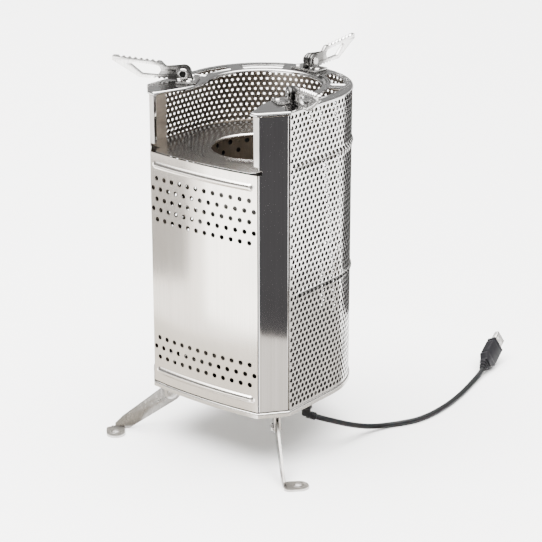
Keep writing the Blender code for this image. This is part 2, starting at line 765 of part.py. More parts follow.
def blower(frame):
    low = TRAY_TOP + CLEARANCE
    high = low + FAN_DEPTH
    half = FAN_SIZE / 2
    round_off = half - POST_PITCH
    outline = []
    for turn, (x, y) in enumerate(((1, 1), (-1, 1), (-1, -1), (1, -1))):
        centre = (x * (half - round_off), y * (half - round_off))
        outline += arc(round_off, turn * 90, turn * 90 + 90, 4, centre)
    holes = [circle(POST_RADIUS + CLEARANCE, 8, (x * POST_PITCH, y * POST_PITCH)) for x in (-1, 1) for y in (-1, 1)]
    bore = circle(FAN_BORE, TURN_STEPS)
    housing = plate("fan_frame", [outline, bore] + holes, low, high)
    fan = solid(housing, "fan_frame", BLACK, frame, (0, CHAMBER_Y, 0))
    seat = [plate("seat", [circle(FAN_HUB - 1, 18)], high - FAN_WEB, high)]
    for index in range(3):
        web = block((FAN_HUB - 2, -1.5, high - FAN_WEB + 0.1), (FAN_BORE + 1, 1.5, high - 0.1))
        web.transform(Matrix.Rotation(2 * math.pi * index / 3 + 0.4, 4, "Z"))
        boolean(fan, web, "UNION")
    boolean(fan, seat[0], "UNION")
    boolean(fan, rod(FAN_SHAFT + CLEARANCE, high - FAN_WEB - 1, high + 1, 12))
    hub_high = high - FAN_WEB - CLEARANCE
    hub_low = low + 1.5
    shaft_high = high - CLEARANCE
    profile = [
        (0, shaft_high), (FAN_SHAFT, shaft_high), (FAN_SHAFT, hub_high), (FAN_HUB, hub_high), (FAN_HUB, hub_low), (0, hub_low),
    ]
    rotor = turned("fan_rotor", profile, 24, BLACK, frame, (0, CHAMBER_Y, 0))
    for index in range(FAN_BLADES):
        blade = block((FAN_HUB - 1.5, -0.7, hub_low + 0.5), (FAN_BORE - 1, 0.7, hub_high - 0.5))
        middle = (hub_low + hub_high) / 2 * MM
        lean = Matrix.Translation((0, 0, middle)) @ Matrix.Rotation(math.radians(38), 4, "X")
        blade.transform(lean @ Matrix.Translation((0, 0, -middle)))
        blade.transform(Matrix.Rotation(2 * math.pi * index / FAN_BLADES, 4, "Z"))
        boolean(rotor, blade, "UNION")
    post_high = TRAY_TOP + PLENUM_HEIGHT - PLENUM_PLATE - CLEARANCE
    for index, (x, y) in enumerate(post_places()):
        mesh = rod(POST_RADIUS, low, post_high, 8)
        solid(mesh, f"spacer_post_{index + 1}", STEEL, frame, (x, y, 0))
    return fan, rotor


def slot_loop(first, last):
    ends = 0.35
    inner = arc(SLOT_INNER, last - ends, first + ends, 6)
    outer = arc(SLOT_OUTER, first, last, 6)
    return outer + inner


def ring_outline():
    """The ring's outer edge, then its front gap and round hole, as one loop."""
    side = BACK_RADIUS + RING_OVERHANG
    right = [(CORNER_X + 0.4, CORNER_Y - RING_OVERHANG), (side, SIDE_FRONT - 0.2)]
    outer = right + arc(side, 0, 180, BACK_STEPS) + list(RING_LEFT)
    throat = [(WING_TIP_X, front_y(WING_TIP_X) - RING_OVERHANG)] + list(THROAT)
    hole = arc(RING_HOLE, RING_HOLE_END, 180 - RING_HOLE_END, 32)
    return outer + [(-x, y) for x, y in throat] + hole[::-1] + throat[::-1]


def top_ring(frame):
    outline = ring_outline()
    slots = [slot_loop(first, last) for first, last in SLOT_ANGLES]
    folds = [-RING_EDGE] + [SLOT_LIP] * len(slots)
    return folded("top_ring", [outline] + slots, folds, RING_TOP, RING_SHEET, STEEL, frame)


def saw(start, end, count, depth):
    """A row of teeth from start to end, whose tips lie on the line between them."""
    run = Vector(end) - Vector(start)
    left = Vector((-run.y, run.x)).normalized()
    points = []
    for index in range(count):
        points.append(tuple(Vector(start) + run * ((index + 0.5) / count) - left * 0))
        points.append(tuple(Vector(start) + run * ((index + 1) / count) + left * depth))
    return points[:-1]


def arm_outline():
    """The blade, anticlockwise from the top of its root."""
    root = arc(ARM_ROOT, 90, 270, 12)
    low_line = Vector(ARM_LOW_CORNER) - Vector((0, -ARM_ROOT))

    def low(u):
        return (u, -ARM_ROOT + low_line.y * u / low_line.x)

    low_teeth = saw(low(ARM_LOW_TEETH_START), low(ARM_LOW_TEETH_END), ARM_LOW_TEETH, ARM_TOOTH_DEPTH)
    top_teeth = saw(ARM_TOP_END, ARM_STEP, ARM_TEETH, ARM_TOOTH_DEPTH)
    tip_centre = Vector(ARM_TOP_END) + Vector((0.6, -ARM_TIP_ROUND))
    tip = arc(ARM_TIP_ROUND, -35, 75, 5, tuple(tip_centre))
    return root + low_teeth + [ARM_LOW_CORNER, ARM_TIP_LOW] + tip + top_teeth + [ARM_STEP, ARM_NECK]


def dome(place, up, name="rivet"):
    """A low round rivet head whose base sits in the plate under it."""
    mesh = bpy.data.meshes.new(name)
    shape = bmesh.new()
    bmesh.ops.create_uvsphere(shape, u_segments=8, v_segments=4, radius=1)
    for vert in shape.verts:
        vert.co = Vector((vert.co.x * RIVET_RADIUS, vert.co.y * RIVET_RADIUS, vert.co.z * RIVET_RISE * up)) * MM
    if up < 0:
        bmesh.ops.reverse_faces(shape, faces=shape.faces)
    bmesh.ops.translate(shape, verts=shape.verts, vec=Vector(place) * MM)
    shape.to_mesh(mesh)
    shape.free()
    return mesh


def arm_set(frame, where, angle):
    turn = station(where + "_arm_station", angle, frame)
    pivot_height = RING_TOP + ARM_PIVOT_RISE
    pivot = (ARM_PIVOT_RADII[where], 0, pivot_height)
    gap = ARM_THICKNESS / 2 + CLEARANCE
    base = CLEARANCE - ARM_PIVOT_RISE
    plate_top = base + BRACKET_PLATE
    hole = circle(PIN_RADIUS + PIN_PLAY, 10)
    outline = [
        (-BRACKET_IN, -BRACKET_HALF), (BRACKET_OUT, -BRACKET_HALF), (BRACKET_OUT, -gap), (-BRACKET_SLOT_IN, -gap),
        (-BRACKET_SLOT_IN, gap), (BRACKET_OUT, gap), (BRACKET_OUT, BRACKET_HALF), (-BRACKET_IN, BRACKET_HALF),
    ]
    bracket = solid(plate("base", [outline], base, plate_top), where + "_arm_bracket", STEEL, turn, pivot)
    side = arc(EAR_ROUND, 0, 180, 8) + [(-EAR_ROUND - 0.8, base + 0.2), (BRACKET_OUT - 0.2, base + 0.2)]
    for sign in (-1, 1):
        near, far = sorted((sign * gap, sign * (gap + EAR_PLATE)))
        boolean(bracket, upright("ear", [side, hole], near, far), "UNION")
        boolean(bracket, dome((-RIVET_IN, sign * RIVET_SIDE, plate_top), 1), "UNION")
    blade = upright("arm", [arm_outline(), list(ARM_WINDOW), hole], -ARM_THICKNESS / 2, ARM_THICKNESS / 2)
    solid(blade, where + "_arm", STEEL, turn, pivot)
    reach = gap + EAR_PLATE + CLEARANCE
    bolt = pivot_pin(turn, where + "_arm_bolt", pivot, reach, BOLT_HEAD_RADIUS, BOLT_HEAD_RISE)
    head_top = reach + BOLT_HEAD_RISE
    boolean(bolt, rod(HEX_SOCKET, head_top - HEX_DEPTH, head_top + 1, 6))


def pivot_pin(turn, name, pivot, reach, head, rise):
    """A pin through both ears; its domed head is on the +Y side and its peened end on the other."""
    tail = -reach - 0.9
    profile = [
        (0, reach + rise), (head - 0.9, reach + rise), (head, reach + rise * 0.6), (head, reach), (PIN_RADIUS, reach),
        (PIN_RADIUS, -reach), (PIN_RADIUS + 1.2, -reach), (PIN_RADIUS + 1.2, tail), (0, tail),
    ]
    pin = turned(name, profile, 12, STEEL, turn, pivot)
    pin.rotation_euler = (math.radians(-90), 0, 0)
    return pin


def leg_outline():
    """The leg's strip, anticlockwise from where its upper edge leaves the root."""
    ground = LEG_PIVOT_DROP - TRAY_TOP
    upper = tangent(LEG_ROOT, LEG_SHOULDER, 1)
    lower = tangent(LEG_ROOT, (LEG_HEEL, ground + FOOT_PLATE), -1)
    root = arc(LEG_ROOT, upper, lower + 360, 14)
    return root + [(LEG_HEEL, ground), (LEG_TOE[0], ground), LEG_TOE, LEG_SHOULDER]


def tangent(radius, point, side):
    """The angle on a circle at the origin where a line from this point touches it."""
    distance = math.hypot(*point)
    return math.degrees(math.atan2(point[1], point[0]) + side * math.acos(radius / distance))


def leg_set(frame, where, angle):
    turn = station(where + "_leg_station", angle, frame)
    pivot = (LEG_PIVOT_RADII[where], 0, TRAY_TOP - LEG_PIVOT_DROP)
    gap = LEG_THICKNESS / 2 + CLEARANCE
    top = LEG_PIVOT_DROP - TRAY_PLATE - CLEARANCE
    low = top - LEG_BRACKET_PLATE
    hole = circle(PIN_RADIUS + PIN_PLAY, 12)
    near, far, half = -LEG_BRACKET_IN, LEG_BRACKET_OUT, LEG_BRACKET_HALF
    outline = [(near, -half), (far, -half), (far, half), (near, half)]
    bracket = solid(plate("base", [outline], low, top), where + "_leg_bracket", STEEL, turn, pivot)
    side = arc(LEG_EAR_ROUND, 180, 360, 8) + [(LEG_EAR_ROUND - 0.2, top - 0.2), (-LEG_EAR_ROUND, top - 0.2)]
    for sign in (-1, 1):
        near, far = sorted((sign * gap, sign * (gap + LEG_EAR_PLATE)))
        boolean(bracket, upright("ear", [side, hole], near, far), "UNION")
        boolean(bracket, dome((-3.5, sign * (LEG_BRACKET_HALF - 3.6), low), -1), "UNION")
    strip = upright("leg", [leg_outline(), hole], -LEG_THICKNESS / 2, LEG_THICKNESS / 2)
    leg = solid(strip, where + "_leg", STEEL, turn, pivot)
    ground = LEG_PIVOT_DROP - TRAY_TOP
    half = FOOT_WIDTH / 2
    near = 0.2 - LEG_THICKNESS / 2
    far = FOOT_LENGTH - LEG_THICKNESS / 2
    pad = [(FOOT_MIDDLE - half, near)] + arc(half / 2, -90, 0, 3, (FOOT_MIDDLE + half / 2, near + half / 2))
    pad += arc(half, 0, 180, 10, (FOOT_MIDDLE, far - half))
    boolean(leg, plate("pad", [pad], ground, ground + FOOT_PLATE), "UNION")
    spot = (FOOT_MIDDLE, FOOT_HOLE_OUT, 0)
    ring_top = ground + FOOT_PLATE + FOOT_RING_RISE
    boolean(leg, rod(FOOT_RING, ground + 0.5, ring_top, 16, "Z", spot), "UNION")
    boolean(leg, rod(FOOT_HOLE, ground - 1, ring_top + 1, 12, "Z", spot))
    pin = pivot_pin(turn, where + "_leg_pin", pivot, gap + LEG_EAR_PLATE + CLEARANCE, LEG_PIN_HEAD, LEG_PIN_RISE)
    pin.rotation_euler.x *= -1


def cable_route():
    """The cable's chosen points, from the gland's sleeve down to the ground and round to the plug."""
    rest = CABLE_RADIUS + 0.1
    return [
        (71.4, -21.3, 33.0), (76.1, -15.3, 30.0), (78.8, -3.0, 24.0), (80.4, 11.5, 17.0), (81.8, 28.0, 10.0),
        (83.6, 42.0, 5.2), (89.0, 58.0, rest), (96.4, 70.0, rest), (102.0, 83.0, rest), (104.6, 100.0, rest),
        (104.4, 122.0, rest), (101.6, 145.0, rest), (97.8, 165.0, 2.6), (94.2, 181.0, 3.0), (91.8, 192.5, 3.7),
        (90.2, 199.6, 4.7), (89.2, 203.4, 5.6),
    ]


def smooth_route(points, per_step):
    """A smooth curve through the route's own points."""
    line = [Vector(point) for point in points]
    ends = [2 * line[0] - line[1]] + line + [2 * line[-1] - line[-2]]
    made = []
    for index in range(1, len(ends) - 2):
        a, b, c, d = ends[index - 1:index + 3]
        for step in range(per_step):
            t = step / per_step
            made.append(0.5 * (2 * b + (c - a) * t + (2 * a - 5 * b + 4 * c - d) * t ** 2 + (3 * b - a - 3 * c + d) * t ** 3))
    return made + [line[-1]]


def along(start_point, direction, roll=0):
    """A frame at a point whose +Z runs along this direction and whose +X stays upright, before its roll."""
    z = Vector(direction).normalized()
    y = z.cross(Vector((0, 0, 1))).normalized()
    x = y.cross(z)
    turn = Matrix((x, y, z)).transposed().to_4x4()
    return Matrix.Translation(Vector(start_point) * MM) @ turn @ Matrix.Rotation(math.radians(roll), 4, "Z")


def cable_set(frame):
    route = smooth_route(cable_route(), 2)
    head = (route[0] - route[1]).normalized()
    tail = (route[-1] - route[-2]).normalized()
    cable = solid(tube("usb_cable", route, CABLE_RADIUS, 2), "usb_cable", BLACK, frame)
    sleeve_end = route[0] + head * CLEARANCE
    stem_high = TRAY_TOP + 2.5
    body_high = TRAY_TOP - TRAY_PLATE - CLEARANCE
    body_low = body_high - GLAND_DROP
    elbow_low = body_low - GLAND_ELBOW
    gland_profile = [
        (0, stem_high), (GLAND_STEM, stem_high), (GLAND_STEM, body_high), (GLAND_RADIUS, body_high),
        (GLAND_RADIUS, body_low), (GLAND_NECK, body_low - 0.5), (GLAND_NECK, elbow_low + 1.2),
        (GLAND_NECK - 1.4, elbow_low), (0, elbow_low),
    ]
    gland = turned("cable_gland", gland_profile, 20, BLACK, frame, (GLAND_X, GLAND_Y, 0))
    sleeve = rod(SLEEVE_RADIUS, 0, SLEEVE_LENGTH, 16)
    local = Vector(sleeve_end) - Vector((GLAND_X, GLAND_Y, 0))
    sleeve.transform(along(local, head))
    boolean(gland, sleeve, "UNION")
    plug_start = route[-1] + tail * CLEARANCE
    plug_frame = along(plug_start, tail, PLUG_ROLL)
    plug_mesh = plug_body()
    plug_mesh.transform(plug_frame)
    solid(plug_mesh, "usb_plug", BLACK, frame)
    shell_mesh = plug_shell()
    shell_mesh.transform(plug_frame)
    solid(shell_mesh, "usb_shell", STEEL, frame)
    return cable, gland


def plug_body():
    """A relief and a moulded body, along +Z, with its broad side upright along X."""
    thick, wide = PLUG_THICKNESS / 2, PLUG_WIDTH / 2
    end = RELIEF_LENGTH + PLUG_LENGTH
    rings = [
        (0, 3.0, 3.3), (RELIEF_LENGTH, 3.1, 4.2), (RELIEF_LENGTH + 0.8, thick - 0.6, wide - 2.6),
        (RELIEF_LENGTH + PLUG_LENGTH * 0.45, thick, wide), (end - PLUG_LENGTH * 0.25, thick, wide),
        (end, thick - 0.5, wide - 0.5),
    ]
    return lofted("usb_plug", rings)


def lofted(name, rings):
    """A loft through rounded rectangles, given as (place, half thickness, half width)."""
    mesh = bpy.data.meshes.new(name)
    shape = bmesh.new()
    loops = []
    for z, half_y, half_x in rings:
        corner = min(half_y, half_x) * 0.45
        loop = []
        for turn, (x, y) in enumerate(((1, 1), (-1, 1), (-1, -1), (1, -1))):
            centre = (x * (half_x - corner), y * (half_y - corner))
            loop += arc(corner, turn * 90, turn * 90 + 90, 3, centre)
        loops.append([shape.verts.new((x * MM, y * MM, z * MM)) for x, y in loop])
    for low, high in zip(loops, loops[1:]):
        for index in range(len(low)):
            after = (index + 1) % len(low)
            shape.faces.new((low[index], low[after], high[after], high[index]))
    shape.faces.new(loops[0][::-1])
    shape.faces.new(loops[-1])
    shape.to_mesh(mesh)
    shape.free()
    return mesh


def plug_shell():
    """The metal shell: an open box with walls, standing out of the moulded body."""
    low = RELIEF_LENGTH + PLUG_LENGTH + CLEARANCE
    half_x, half_y = SHELL_WIDTH / 2, SHELL_THICKNESS / 2
    outer = [(-half_x, -half_y), (half_x, -half_y), (half_x, half_y), (-half_x, half_y)]
    inner = [(-half_x + SHELL_WALL, -half_y + SHELL_WALL), (half_x - SHELL_WALL, -half_y + SHELL_WALL),
             (half_x - SHELL_WALL, 0.2), (-half_x + SHELL_WALL, 0.2)]
    return plate("usb_shell", [outer, inner], low, low + SHELL_LENGTH)


def fan_lead(frame):
    """The short lead inside, from the gland's stem to the fan."""
    height = TRAY_TOP + CLEARANCE + 1.4
    start_x = GLAND_X - GLAND_STEM - CLEARANCE
    end_x = FAN_SIZE / 2 + CLEARANCE
    points = [
        (start_x, GLAND_Y, height), (start_x - 4, GLAND_Y, height), (start_x - 12, GLAND_Y + 3, height),
        (end_x + 10, CHAMBER_Y - 9, height + 2), (end_x + 4, CHAMBER_Y - 8, height + 4), (end_x, CHAMBER_Y - 8, height + 4),
    ]
    route = smooth_route(points, 3)
    return solid(tube("fan_lead", route, 1.1, 1), "fan_lead", BLACK, frame)


def centre_stove(frame):
    """Moves the frame so that the origin is under the middle of the box, without the cable and its plug."""
    cord = {"usb_cable", "usb_plug", "usb_shell"}
    graph = bpy.context.evaluated_depsgraph_get()
    lows = Vector((1e9, 1e9, 1e9))
    highs = -lows
    for part in bpy.data.collections["Camp stove"].objects:
        if part.type == "MESH" and part.name not in cord:
            shown = part.evaluated_get(graph)
            for vert in shown.data.vertices:
                spot = shown.matrix_world @ vert.co
                lows = Vector(map(min, lows, spot))
                highs = Vector(map(max, highs, spot))
    frame.location = (-(lows.x + highs.x) / 2, -(lows.y + highs.y) / 2, 0)
    bpy.context.view_layer.update()
    print("frame moved by", [round(value / MM, 3) for value in frame.location], "lowest", round(lows.z / MM, 4))


def main():
    frame = start()
    base_tray(frame)
    for side in (-1, 1):
        pillar(frame, side)
    front_panel(frame)
    guard(frame)
    deck_plate(frame)
    fire_chamber(frame)
    air_jacket(frame)
    grate(frame)
    plenum_plate(frame)
    blower(frame)
    top_ring(frame)
    for where, angle in ARM_ANGLES.items():
        arm_set(frame, where, angle)
    for where, angle in LEG_ANGLES.items():
        leg_set(frame, where, angle)
    cable_set(frame)
    fan_lead(frame)
    centre_stove(frame)


main()
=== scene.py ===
import json
import math

import bmesh
import bpy
from mathutils import Matrix, Vector
from mathutils.geometry import tessellate_polygon


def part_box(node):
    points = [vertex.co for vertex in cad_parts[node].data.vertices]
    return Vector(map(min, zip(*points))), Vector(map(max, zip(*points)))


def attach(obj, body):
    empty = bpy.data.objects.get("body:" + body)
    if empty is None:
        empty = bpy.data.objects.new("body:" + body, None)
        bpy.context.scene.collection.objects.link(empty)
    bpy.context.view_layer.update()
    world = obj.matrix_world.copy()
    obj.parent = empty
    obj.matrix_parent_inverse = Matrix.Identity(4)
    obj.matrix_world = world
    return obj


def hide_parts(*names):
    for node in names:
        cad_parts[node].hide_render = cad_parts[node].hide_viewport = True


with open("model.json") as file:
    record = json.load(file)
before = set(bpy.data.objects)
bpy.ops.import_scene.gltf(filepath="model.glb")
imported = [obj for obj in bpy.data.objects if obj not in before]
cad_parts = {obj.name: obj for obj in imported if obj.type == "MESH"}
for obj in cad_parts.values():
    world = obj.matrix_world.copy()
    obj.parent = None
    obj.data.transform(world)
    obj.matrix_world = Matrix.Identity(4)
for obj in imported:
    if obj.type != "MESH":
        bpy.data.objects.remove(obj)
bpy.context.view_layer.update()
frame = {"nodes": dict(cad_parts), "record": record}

# Shapes are made in millimetres from the stove's upright axis, then put where the model has that axis.
mm = 0.001
chamberY = -7.1  # how far the burner's middle lies from that axis
jacketLow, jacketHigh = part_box("air_jacket")
stoveX = (jacketLow.x + jacketHigh.x) / 2 / mm
stoveY = (jacketLow.y + jacketHigh.y) / 2 / mm - chamberY
toModel = Matrix.Translation((stoveX * mm, stoveY * mm, 0)) @ Matrix.Scale(mm, 4)

clearance = 0.3  # between pieces that are set into each other
seam = 0.9  # between the front sheets and the plates above and below them
sheet = 0.8
trayPlate = 1.0
deckPlate = 1.2
ringEdge = 2.4
trayTop = 50.0
deckTop = 249.2
ringTop = 297.1

# The body's plan: straight sides and a round back, cut front corners and a bowed front.
backRadius = 71.0
backSteps = 56
sideFront = -56.1
cornerX = 54.8
cornerY = -76.5
cornerBend = 2.7
cornerLap = 17.5  # how far the pillars reach behind the guard
frontBow = 3.7
frontSteps = 14


def arc(radius, first, last, steps, centre=(0, 0)):
    angles = [math.radians(first + (last - first) * step / steps) for step in range(steps + 1)]
    return [(centre[0] + radius * math.cos(a), centre[1] + radius * math.sin(a)) for a in angles]


def circle(radius, sides, centre=(0, 0)):
    return arc(radius, 0, 360, sides, centre)[:-1]


def oblong(left, right, low, high):
    return [(left, low), (right, low), (right, high), (left, high)]


def mirrored(points):
    return [(-x, y) for x, y in reversed(points)]


# The path moved to the left of its own direction, with mitred corners.
def leftOf(points, distance, closed=True):
    count = len(points)
    moved = []
    for index, point in enumerate(points):
        before = points[index - 1] if closed or index else None
        after = points[(index + 1) % count] if closed or index < count - 1 else None
        normals = []
        for start, end in ((before, point), (point, after)):
            if start and end:
                run = Vector((end[0] - start[0], end[1] - start[1])).normalized()
                normals.append(Vector((-run.y, run.x)))
        mean = sum(normals, Vector((0, 0))).normalized()
        reach = distance / mean.dot(normals[0])
        moved.append((point[0] + mean.x * reach, point[1] + mean.y * reach))
    return moved


# The path with its corners eased; radius is one number, or one for each corner.
def rounded(points, radius, steps=4, closed=False):
    nearlyStraight = 176
    longest = 0.49  # of the edges beside a corner
    closest = 0.02
    count = len(points)
    made = []
    for index, point in enumerate(points):
        size = radius[index] if isinstance(radius, (list, tuple)) else radius
        if not size or (not closed and index in (0, count - 1)):
            made.append(tuple(point))
            continue
        corner = Vector(point)
        back = Vector(points[index - 1]) - corner
        on = Vector(points[(index + 1) % count]) - corner
        if math.degrees(back.angle(on)) > nearlyStraight:
            made.append(tuple(point))
            continue
        reach = min(size / math.tan(back.angle(on) / 2), back.length * longest, on.length * longest)
        first = corner + back.normalized() * reach
        last = corner + on.normalized() * reach
        for step in range(steps + 1):
            t = step / steps
            made.append(tuple(first * (1 - t) ** 2 + corner * (2 * t * (1 - t)) + last * t ** 2))
    apart = made[:1]
    for before, point in zip(made, made[1:]):
        if math.dist(point, before) > closest:
            apart.append(point)
    return apart


# The loop, run clockwise or the other way.
def wound(loop, clockwise):
    area = sum(a[0] * b[1] - b[0] * a[1] for a, b in zip(loop, loop[1:] + loop[:1]))
    return loop[::-1] if (area > 0) == clockwise else loop


def addObject(name, data):
    made = bpy.data.objects.new(name, data)
    bpy.context.scene.collection.objects.link(made)
    return made


def fromShape(shape, name):
    mesh = bpy.data.meshes.new(name)
    shape.to_mesh(mesh)
    shape.free()
    return mesh


def fromCurve(curve, name):
    weld = 0.005
    holder = addObject(name, curve)
    graph = bpy.context.evaluated_depsgraph_get()
    mesh = bpy.data.meshes.new_from_object(holder.evaluated_get(graph))
    bpy.data.objects.remove(holder, do_unlink=True)
    bpy.data.curves.remove(curve)
    shape = bmesh.new()
    shape.from_mesh(mesh)
    bmesh.ops.remove_doubles(shape, verts=shape.verts, dist=weld)
    bmesh.ops.recalc_face_normals(shape, faces=shape.faces)
    shape.to_mesh(mesh)
    shape.free()
    return mesh


# A flat outline, with any holes, between two heights.
def plate(loops, low, high):
    curve = bpy.data.curves.new("plate", "CURVE")
    curve.dimensions = "2D"
    curve.fill_mode = "BOTH"
    curve.extrude = (high - low) / 2
    for loop in loops:
        line = curve.splines.new("POLY")
        line.points.add(len(loop) - 1)
        for point, (x, y) in zip(line.points, loop):
            point.co = (x, y, 0, 1)
        line.use_cyclic_u = True
    mesh = fromCurve(curve, "plate")
    mesh.transform(Matrix.Translation((0, 0, (low + high) / 2)))
    return mesh


# An outline in the X-Z plane, between two places across Y.
def upright(loops, left, right):
    mesh = plate(loops, -(right - left) / 2, (right - left) / 2)
    mesh.transform(Matrix.Rotation(math.radians(90), 4, "X"))
    mesh.transform(Matrix.Translation((0, (left + right) / 2, 0)))
    return mesh


# A face through these corners, where one that comes twice counts once.
def addFace(shape, verts, finish=0):
    corners = []
    for vert in verts:
        if vert not in corners:
            corners.append(vert)
    if len(corners) > 2:
        shape.faces.new(corners).material_index = finish


# The faces between two rings with the same number of corners.
def bridge(shape, low, high):
    for index in range(len(low)):
        beside = (index + 1) % len(low)
        shape.faces.new((low[index], low[beside], high[beside], high[index]))


# A profile of (radius, height) turned about the vertical.
def lathed(profile, steps, place=(0, 0, 0)):
    onAxis = 0.001
    shape = bmesh.new()
    rings = []
    for radius, height in profile:
        if radius < onAxis:
            pole = shape.verts.new((0, 0, height))
            rings.append([pole] * steps)
        else:
            rings.append([shape.verts.new((x, y, height)) for x, y in circle(radius, steps)])
    for low, high in zip(rings, rings[1:]):
        for index in range(steps):
            beside = (index + 1) % steps
            addFace(shape, (low[index], low[beside], high[beside], high[index]))
    bmesh.ops.recalc_face_normals(shape, faces=shape.faces)
    bmesh.ops.translate(shape, verts=shape.verts, vec=place)
    return fromShape(shape, "lathed")


# The meshes joined into one.
def several(meshes):
    shape = bmesh.new()
    for mesh in meshes:
        shape.from_mesh(mesh)
    for mesh in meshes:
        bpy.data.meshes.remove(mesh)
    return fromShape(shape, "several")


# How a sheet's edge bends over, as (inset, rise) from the flat to the end of its skirt.
def turnedEdge(drop, bend):
    steps = 5
    flat = 0.7
    profile = [(bend + flat, 0), (bend, 0)]
    for step in range(1, steps + 1):
        angle = math.radians(90 * step / steps)
        profile.append((bend * (1 - math.sin(angle)), -bend * (1 - math.cos(angle))))
    if drop > bend:
        profile.append((0, -drop))
    return profile


# A flat sheet whose edges follow a profile of (inset, rise); the first loop is its outside.
def pressedSheet(loops, profiles, height):
    shape = bmesh.new()
    flats = []
    for number, (loop, profile) in enumerate(zip(loops, profiles)):
        loop = wound(loop, number > 0)
        before = None
        for inset, rise in profile:
            ring = [shape.verts.new((x, y, height + rise)) for x, y in leftOf(loop, inset)]
            if before is None:
                flats.append(ring)
            else:
                for index in range(len(ring)):
                    beside = (index + 1) % len(ring)
                    shape.faces.new((before[index], ring[index], ring[beside], before[beside]))
            before = ring
    corners = [vert for ring in flats for vert in ring]
    for triangle in tessellate_polygon([[vert.co for vert in ring] for ring in flats]):
        face = shape.faces.new([corners[index] for index in triangle])
        face.normal_update()
        if face.normal.z < 0:
            face.normal_flip()
    return fromShape(shape, "sheet")


# A surface from cells whose corners are (along, up); corners at one spot are shared.
def skin(cells, place):
    shape = bmesh.new()
    spots = {}
    for cell in cells:
        corners = []
        for along, up in cell:
            key = (round(along, 3), round(up, 3))
            if key not in spots:
                spots[key] = shape.verts.new(place(along, up))
            corners.append(spots[key])
        addFace(shape, corners)
    return fromShape(shape, "skin")


holeSides = 12


# The corners of a punched hole, from its lower left on.
def holeRim(radius, middle, up):
    return arc(radius, -150, 180, holeSides - 1, (middle, up))


# The sheet round one punched hole, as six faces between the cell's edge and the hole.
def holeCell(left, middle, right, low, high, radius, up):
    edge = [(left, low), (middle, low), (right, low), (right, high), (middle, high), (left, high)]
    hole = holeRim(radius, middle, up)
    cells = []
    for index, corner in enumerate(edge):
        beside = edge[(index + 1) % len(edge)]
        rim = [hole[(2 * index + step) % holeSides] for step in (1, 0, -1)]
        cells.append([corner, beside] + rim)
    return cells


# Plain cells side by side.
def row(places, low, high):
    return [oblong(a, b, low, high) for a, b in zip(places, places[1:])]


# Faces between two rows of corners, where the fine one has all places of the coarse one.
def zipped(coarse, fine, coarseUp, fineUp):
    near = 0.001
    cells = []
    for a, b in zip(coarse, coarse[1:]):
        between = [(place, fineUp) for place in fine if a - near <= place <= b + near]
        if fineUp > coarseUp:
            cells.append([(a, coarseUp), (b, coarseUp)] + between[::-1])
        else:
            cells.append([(b, coarseUp), (a, coarseUp)] + between)
    return cells


# A place at this spot whose axes run along these three directions.
def axesAt(spot, x, y, z):
    return Matrix.Translation(spot) @ Matrix((x, y, z)).transposed().to_4x4()


# One finished piece: its sheet gets its thickness, its edges are eased, and it rides on its body.
def addPiece(name, mesh, body, finishes, nodes=(), place=None,
             thickness=0, bevel=0, cuts=(), smoothAngle=38, rims=1):
    made = addObject(name, mesh)
    for finishName in finishes:
        mesh.materials.append(finish[finishName])
    if thickness:
        step = made.modifiers.new("Thickness", "SOLIDIFY")
        step.thickness = thickness
        step.offset = -1
        step.use_even_offset = True
        step.use_quality_normals = True
        if len(finishes) > 1:
            step.material_offset = 1
            step.material_offset_rim = rims
    tools = []
    for cut in cuts:
        tool = addObject(name + "_cut", cut)
        step = made.modifiers.new("Cut", "BOOLEAN")
        step.solver = "EXACT"
        step.object = tool
        tools.append(tool)
    if bevel:
        step = made.modifiers.new("Edges", "BEVEL")
        step.width = bevel
        step.segments = 2
        step.limit_method = "ANGLE"
        step.angle_limit = math.radians(40)
    graph = bpy.context.evaluated_depsgraph_get()
    done = bpy.data.meshes.new_from_object(made.evaluated_get(graph))
    made.modifiers.clear()
    made.data = done
    bpy.data.meshes.remove(mesh)
    for tool in tools:
        bpy.data.objects.remove(tool, do_unlink=True)
    done.transform(toModel @ place if place else toModel)
    done.shade_smooth()
    done.set_sharp_from_angle(angle=math.radians(smoothAngle))
    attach(made, body)
    if nodes:
        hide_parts(*nodes)
    return made


# The body that a node of the model moves with.
def bodyOf(node):
    for name, members in (frame["record"].get("behaviour") or {}).get("bodies", {}).items():
        if node in members:
            return name
    return "stove"


# The camera stands where the photograph was taken from.
view = {
    "spot": (929.2, -1155.6, 672.3), "heading": 38.58, "tilt": 19.842, "lens": 126.42, "sensor": 36,
    "farthest": 20,
}


def setCamera():
    heading = math.radians(view["heading"])
    tilt = math.radians(view["tilt"])
    right = Vector((math.cos(heading), math.sin(heading), 0))
    back = Vector((math.sin(heading) * math.cos(tilt), -math.cos(heading) * math.cos(tilt), math.sin(tilt)))
    data = bpy.data.cameras.new("studio_camera")
    data.sensor_width = view["sensor"]
    data.lens = view["lens"]
    data.clip_end = view["farthest"]
    made = addObject("studio_camera", data)
    made.matrix_world = axesAt(toModel @ Vector(view["spot"]), right, back.cross(right), back)
    bpy.context.scene.camera = made


setCamera()
print("camera set")


# The inputs of a node, given as constants or as the outputs that feed them.
def feed(tree, node, inputs):
    for key, value in inputs.items():
        if isinstance(value, bpy.types.NodeSocket):
            tree.links.new(value, node.inputs[key])
        else:
            node.inputs[key].default_value = value


def addNode(tree, kind, inputs, **settings):
    node = tree.nodes.new(kind)
    for key, value in settings.items():
        setattr(node, key, value)
    feed(tree, node, inputs)
    return node


def newFinish(name):
    made = bpy.data.materials.new(name)
    made.use_nodes = True
    return made, made.node_tree, made.node_tree.nodes["Principled BSDF"]


def onObject(tree):
    return tree.nodes.new("ShaderNodeTexCoord").outputs["Object"]


